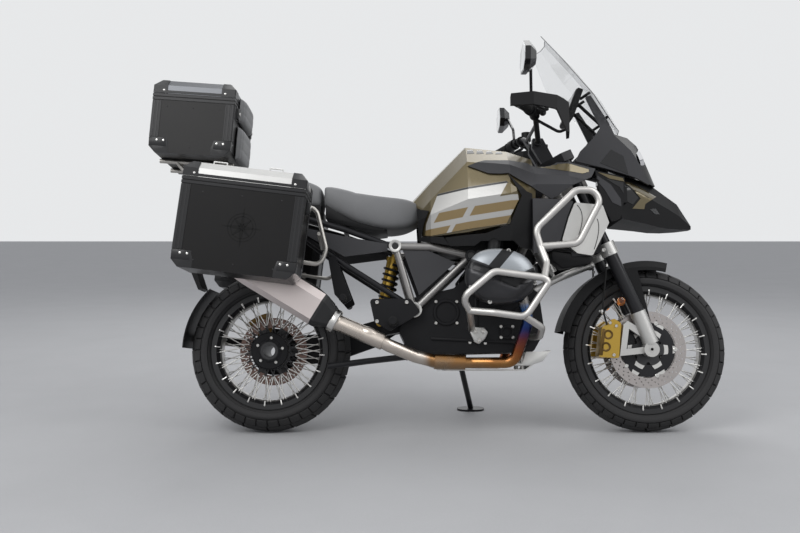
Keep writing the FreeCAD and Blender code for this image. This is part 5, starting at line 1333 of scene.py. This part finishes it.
class MOTORCYCLE_OT_front_details(bpy.types.Operator):
    """Add clamp screws, caliper caps, brake pipes, reflectors and the radiators' ducts"""
    bl_idname = "motorcycle.front_details"
    bl_label = "Dress the Front End"

    def execute(self, context):
        x, z = FRONT_AXLE.x, FRONT_AXLE.z
        clamp = screws([(1.322, 0.716), (1.346, 0.706)], 0.1355, 0.0075, 0.006)
        settle(clamp, "clamp_screws", "steering", "bolt steel")
        pistons = [on_side(ring_boss(0.019, 0.011, 0.004), x + a, -0.1125, z + b)
                   for a, b in ((-0.176, 0.010), (-0.166, 0.058))]
        settle(both_sides(merged(pistons)), "caliper_caps", "steering", "gold dark")
        bridge = plate([(x - 0.206, z - 0.022), (x - 0.190, z - 0.024), (x - 0.176, z + 0.080),
                        (x - 0.188, z + 0.082)], -0.1165, -0.111, 0.002)
        settle(both_sides(bridge), "caliper_bridges", "steering", "gold dark")
        pins = screws([(x - 0.146, z - 0.022), (x - 0.134, z + 0.092), (x - 0.158, z + 0.104)], 0.1128,
                      0.0065, 0.006)
        settle(pins, "caliper_pins", "steering", "bolt steel")
        hose = [(x - 0.170, -0.118, z + 0.096), (x - 0.190, -0.120, z + 0.150),
                (x - 0.178, -0.122, z + 0.240), (x - 0.168, -0.124, z + 0.330),
                (x - 0.176, -0.112, z + 0.420)]
        settle(both_sides(tube(hose, 0.0036)), "brake_pipes", "steering", "rubber")
        clips = [moved(lathe([(0.0034, -0.005), (0.0062, -0.005), (0.0062, 0.005), (0.0034, 0.005)], 16),
                       aim(Vector(hose[i]), Vector(hose[i + 1]) - Vector(hose[i - 1]))) for i in (1, 3)]
        settle(both_sides(merged(clips)), "brake_pipe_clips", "steering", "bolt steel")
        spot = on_side(lathe([(0, 0.0), (0.017, 0.0), (0.017, -0.003), (0.014, -0.005), (0, -0.006)], 32),
                       x - 0.118, -0.1375, z + 0.186)
        settle(both_sides(spot), "side_reflectors", "steering", "amber")
        self.radiators()
        return {"FINISHED"}

    def radiators(self):
        crease = tube([(1.200, -0.2500, 0.876), (1.236, -0.2500, 0.842), (1.204, -0.2500, 0.760)], 0.0016)
        fold = tube([(1.276, -0.2500, 0.822), (1.292, -0.2500, 0.786), (1.262, -0.2500, 0.704)], 0.0016)
        settle(both_sides(merged([crease, fold])), "radiator_creases", "frame", "grey plastic")
        duct = [(1.100, 0.700), (1.196, 0.686), (1.262, 0.678), (1.250, 0.650), (1.140, 0.632),
                (1.104, 0.664)]
        settle(both_sides(plate(duct, -0.236, -0.150, 0.006)), "radiator_ducts", "frame", "plastic")
        clip = plate([(1.176, 0.694), (1.240, 0.694), (1.236, 0.680), (1.180, 0.676)], -0.2385, -0.235, 0.001)
        settle(both_sides(clip), "duct_clips", "frame", "black metal")
        slats = []
        for i in range(9):
            at = 0.724 + 0.014 * i
            slats.append(plate([(1.120, at), (1.280, at - 0.012), (1.280, at - 0.008), (1.120, at + 0.004)],
                               -0.2275, -0.2262, 0.0))
        settle(both_sides(merged(slats)), "radiator_slats", "frame", "radiator")


BAR_BEND = Vector((1.0338, 0.262, 1.244))
BAR_OUT = Vector((-0.4184, 0.9050, -0.0779))


def grip_point(side, distance):
    point = BAR_BEND + BAR_OUT * distance
    return Vector((point.x, side * point.y, point.z))


def grip_way(side):
    return Vector((BAR_OUT.x, side * BAR_OUT.y, BAR_OUT.z))


class MOTORCYCLE_OT_cockpit_details(bpy.types.Operator):
    """Add grip ribs, mirror glass, the display, the lamp's bowls and the rear lenses"""
    bl_idname = "motorcycle.cockpit_details"
    bl_label = "Dress the Cockpit"

    def execute(self, context):
        profile = [(0.0178, 0.0), (0.0215, 0.0), (0.0215, 0.004), (0.0184, 0.006)]
        for i in range(10):
            at = 0.012 + i * 0.010
            profile += [(0.0184, at), (0.0193, at + 0.001), (0.0193, at + 0.006), (0.0184, at + 0.007)]
        profile += [(0.0184, 0.118), (0.0178, 0.118)]
        places = [aim(grip_point(s, 0.062), grip_way(s)) for s in (-1, 1)]
        settle(repeated(lathe(profile, 32), places), "grip_ribs", "steering", "rubber")
        face = [(-0.078, -0.014), (-0.056, -0.046), (0.034, -0.056), (0.080, -0.030), (0.086, 0.018),
                (0.044, 0.052), (-0.054, 0.040)]
        glass = plate([(a * 0.93, b * 0.90) for a, b in face], -0.0012, 0.0, 0.0004)
        turn = Matrix.Translation((0.9751, 0.4245, 1.3997)) @ Matrix.Rotation(-math.pi / 2, 4, "Z")
        piece = both_sides(moved(glass, turn @ Matrix.Scale(-1, 4, (1, 0, 0))))
        settle(piece, "mirror_glass", "steering", "mirror glass")
        self.display()
        self.lamps()
        return {"FINISHED"}

    def display(self):
        low, high = Vector((1.1975, 0, 1.270)), Vector((1.2425, 0, 1.390))
        up = (high - low).normalized()
        out = Vector((-up.z, 0, up.x))
        place = Matrix(((0, out.x, up.x, low.x), (1, out.y, up.y, 0), (0, out.z, up.z, low.z), (0, 0, 0, 1)))
        rim = plate([(-0.092, 0.006), (0.092, 0.006), (0.096, 0.122), (-0.096, 0.122)], 0.0, 0.003, 0.001)
        screen = plate([(-0.082, 0.016), (0.082, 0.016), (0.084, 0.112), (-0.084, 0.112)], 0.002, 0.0038,
                       0.0003)
        settle(moved(rim, place), "display_rim", "frame", "plastic")
        settle(moved(screen, place), "display_screen", "frame", "gloss black")

    def lamps(self):
        x = FRONT_AXLE.x
        bowl = lathe([(0.0, 0.004), (0.020, 0.006), (0.032, 0.012), (0.036, 0.016), (0.040, 0.016),
                      (0.040, 0.0), (0.0, 0.0)], 40)
        way = Vector((0.94, 0, 0.34))
        places = [aim(Vector((x - 0.018, s * 0.046, 1.098)), way) for s in (-1, 1)]
        settle(repeated(bowl, places), "lamp_bowls", "frame", "lamp bowl")
        tail = plate([(-0.3520, 0.829), (-0.3500, 0.829), (-0.3455, 0.870), (-0.3475, 0.870)], -0.050,
                     0.050, 0.0004)
        settle(tail, "tail_lens", "frame", "red")
        pod = plate([(-0.3415, 0.7485), (-0.3395, 0.7485), (-0.3360, 0.7790), (-0.3380, 0.7790)], -0.1505,
                    -0.1135, 0.0004)
        settle(both_sides(pod), "rear_indicator_lenses", "frame", "amber")


# Panels laid over the bodywork: name, the part below, finish, side-view outline
BODY_PANELS = (
    ("beak_strips", "beak", "bronze", [(1.300, 1.022), (1.398, 0.998), (1.404, 0.984), (1.345, 0.996)]),
    ("beak_wedges", "beak", "bronze", [(1.414, 0.998), (1.452, 0.992), (1.556, 0.942), (1.500, 0.905),
                                       (1.495, 0.884), (1.444, 0.884), (1.480, 0.926)]),
    ("beak_vents", "beak", "gloss black", [(1.330, 0.996), (1.400, 0.980), (1.400, 0.936), (1.384, 0.962)]),
    ("beak_vent_noses", "beak", "gloss black", [(1.414, 0.984), (1.470, 0.928), (1.446, 0.900),
                                                (1.416, 0.914)]),
    ("beak_sills", "beak", "grey plastic", [(1.298, 1.008), (1.350, 0.972), (1.388, 0.914), (1.390, 0.884),
                                            (1.355, 0.900), (1.326, 0.951), (1.296, 0.988)]),
    ("nose_lamps", "beak", "lens", [(1.520, 0.886), (1.543, 0.890), (1.563, 0.867), (1.540, 0.868)]),
    ("wing_strips", "side_shrouds", "bronze", [(1.060, 1.056), (1.180, 1.052), (1.262, 1.030), (1.262, 1.020),
                                               (1.236, 1.012), (1.162, 1.022), (1.060, 1.043)]),
    ("panel_recesses", "cockpit_panels", "gloss black", [(1.318, 1.068), (1.364, 1.122), (1.412, 1.096),
                                                         (1.430, 1.022)]),
)


class MOTORCYCLE_OT_body_panels(bpy.types.Operator):
    """Lay the bronze strips, the dark recesses and the tank's vents over the bodywork"""
    bl_idname = "motorcycle.body_panels"
    bl_label = "Lay the Body Panels"

    def execute(self, context):
        for name, node, finish, outline in BODY_PANELS:
            settle(both_sides(wrapped(outline, node, 0.0016)), name, "frame", finish, smooth=50.0)
        vents = []
        for i in range(4):
            x = 0.785 + 0.038 * i
            vents.append(wrapped([(x, 1.100), (x + 0.030, 1.103), (x + 0.024, 1.124 - 0.003 * i),
                                  (x + 0.004, 1.121 - 0.003 * i)], "tank", 0.0012, 0.003, 2))
        settle(both_sides(merged(vents)), "tank_vents", "frame", "gloss black", smooth=50.0)
        return {"FINISHED"}


class MOTORCYCLE_OT_paint(bpy.types.Operator):
    """Give every part of the frame its finish"""
    bl_idname = "motorcycle.paint"
    bl_label = "Paint the Parts"

    def execute(self, context):
        make_finishes(context.scene.motorcycle_paint)
        for name, node in frame["nodes"].items():
            node.data.materials.clear()
            node.data.materials.append(FINISHES[NODE_FINISH[name]])
        return {"FINISHED"}


class MOTORCYCLE_OT_stage(bpy.types.Operator):
    """Set up the floor, the lamps and the camera"""
    bl_idname = "motorcycle.stage"
    bl_label = "Set the Stage"

    def execute(self, context):
        start_fresh()
        bpy.ops.mesh.primitive_plane_add(size=60.0, location=(0, 0, 0))
        floor = context.object
        floor.name = "studio_floor"
        floor.data.materials.append(floor_finish(context.scene.motorcycle_paint.floor))
        light_world(context.scene)
        for place, size, energy in (((-2.5, -3.5, 4.2), 3.0, 125.0), ((3.5, -2.5, 4.0), 3.0, 92.0),
                                    ((0.0, 3.5, 4.5), 4.0, 90.0)):
            bpy.ops.object.light_add(type="AREA", location=place)
            lamp = context.object
            lamp.data.size = size
            lamp.data.energy = energy
            lamp.rotation_euler = (Vector((0, 0, 0.6)) - Vector(place)).to_track_quat("-Z", "Y").to_euler()
        bpy.ops.object.camera_add(location=(-0.161, -3.870, 0.856), rotation=(math.radians(87.01), 0, 0))
        camera = context.object
        camera.data.lens = 42.0
        camera.data.sensor_width = 36.0
        context.scene.camera = camera
        context.scene.view_settings.view_transform = "Standard"
        return {"FINISHED"}


def floor_finish(tint):
    """Pale short pile carpet."""
    s = Shader("studio_floor")
    pile = s.noise(420.0, 3.0)
    broad = s.noise(3.0, 3.0)
    s.set(base_color=s.mix(pile * 0.7 + broad * 0.3, shade(tint, 0.8), shade(tint, 1.12)), roughness=0.9)
    s.bump(pile, 0.002, 0.5)
    return s.material


def light_world(scene):
    """A soft sky for the object, and a plain pale wall where the camera and reflections look."""
    world = bpy.data.worlds.new("studio")
    scene.world = world
    world.use_nodes = True
    tree = world.node_tree
    soft = tree.nodes["Background"]
    soft.inputs["Color"].default_value = (0.93, 0.95, 1.0, 1.0)
    soft.inputs["Strength"].default_value = 0.62
    wall = tree.nodes.new("ShaderNodeBackground")
    wall.inputs["Color"].default_value = (0.80, 0.81, 0.82, 1.0)
    wall.inputs["Strength"].default_value = 1.0
    rays = tree.nodes.new("ShaderNodeLightPath")
    either = tree.nodes.new("ShaderNodeMath")
    either.operation = "MAXIMUM"
    tree.links.new(rays.outputs["Is Camera Ray"], either.inputs[0])
    tree.links.new(rays.outputs["Is Transmission Ray"], either.inputs[1])
    mix = tree.nodes.new("ShaderNodeMixShader")
    gloss = tree.nodes.new("ShaderNodeMath")
    gloss.operation = "MAXIMUM"
    tree.links.new(either.outputs[0], gloss.inputs[0])
    tree.links.new(rays.outputs["Is Glossy Ray"], gloss.inputs[1])
    tree.links.new(gloss.outputs[0], mix.inputs[0])
    tree.links.new(soft.outputs[0], mix.inputs[1])
    tree.links.new(wall.outputs[0], mix.inputs[2])
    tree.links.new(mix.outputs[0], tree.nodes["World Output"].inputs["Surface"])


OPERATORS = (MOTORCYCLE_OT_stage, MOTORCYCLE_OT_paint, MOTORCYCLE_OT_tyres, MOTORCYCLE_OT_discs,
             MOTORCYCLE_OT_wheel_fittings, MOTORCYCLE_OT_seats, MOTORCYCLE_OT_cases,
             MOTORCYCLE_OT_back_pads, MOTORCYCLE_OT_engine_details, MOTORCYCLE_OT_frame_details,
             MOTORCYCLE_OT_front_details, MOTORCYCLE_OT_cockpit_details, MOTORCYCLE_OT_body_panels)


class MOTORCYCLE_PT_panel(bpy.types.Panel):
    """Buttons for each group of parts"""
    bl_label = "Motorcycle"
    bl_space_type = "VIEW_3D"
    bl_region_type = "UI"
    bl_category = "Motorcycle"

    def draw(self, context):
        for operator in OPERATORS:
            self.layout.operator(operator.bl_idname)
        for group in (context.scene.motorcycle_paint, context.scene.motorcycle_tread):
            for key in group.bl_rna.properties.keys()[2:]:
                self.layout.prop(group, key)


CLASSES = (PaintSettings, TreadSettings, *OPERATORS, MOTORCYCLE_PT_panel)


def register():
    for cls in CLASSES:
        bpy.utils.register_class(cls)
    bpy.types.Scene.motorcycle_paint = PointerProperty(type=PaintSettings)
    bpy.types.Scene.motorcycle_tread = PointerProperty(type=TreadSettings)


def unregister():
    del bpy.types.Scene.motorcycle_tread
    del bpy.types.Scene.motorcycle_paint
    for cls in reversed(CLASSES):
        bpy.utils.unregister_class(cls)


def main():
    register()
    for operator in OPERATORS:
        group, name = operator.bl_idname.split(".")
        getattr(getattr(bpy.ops, group), name)()


if __name__ == "__main__":
    main()
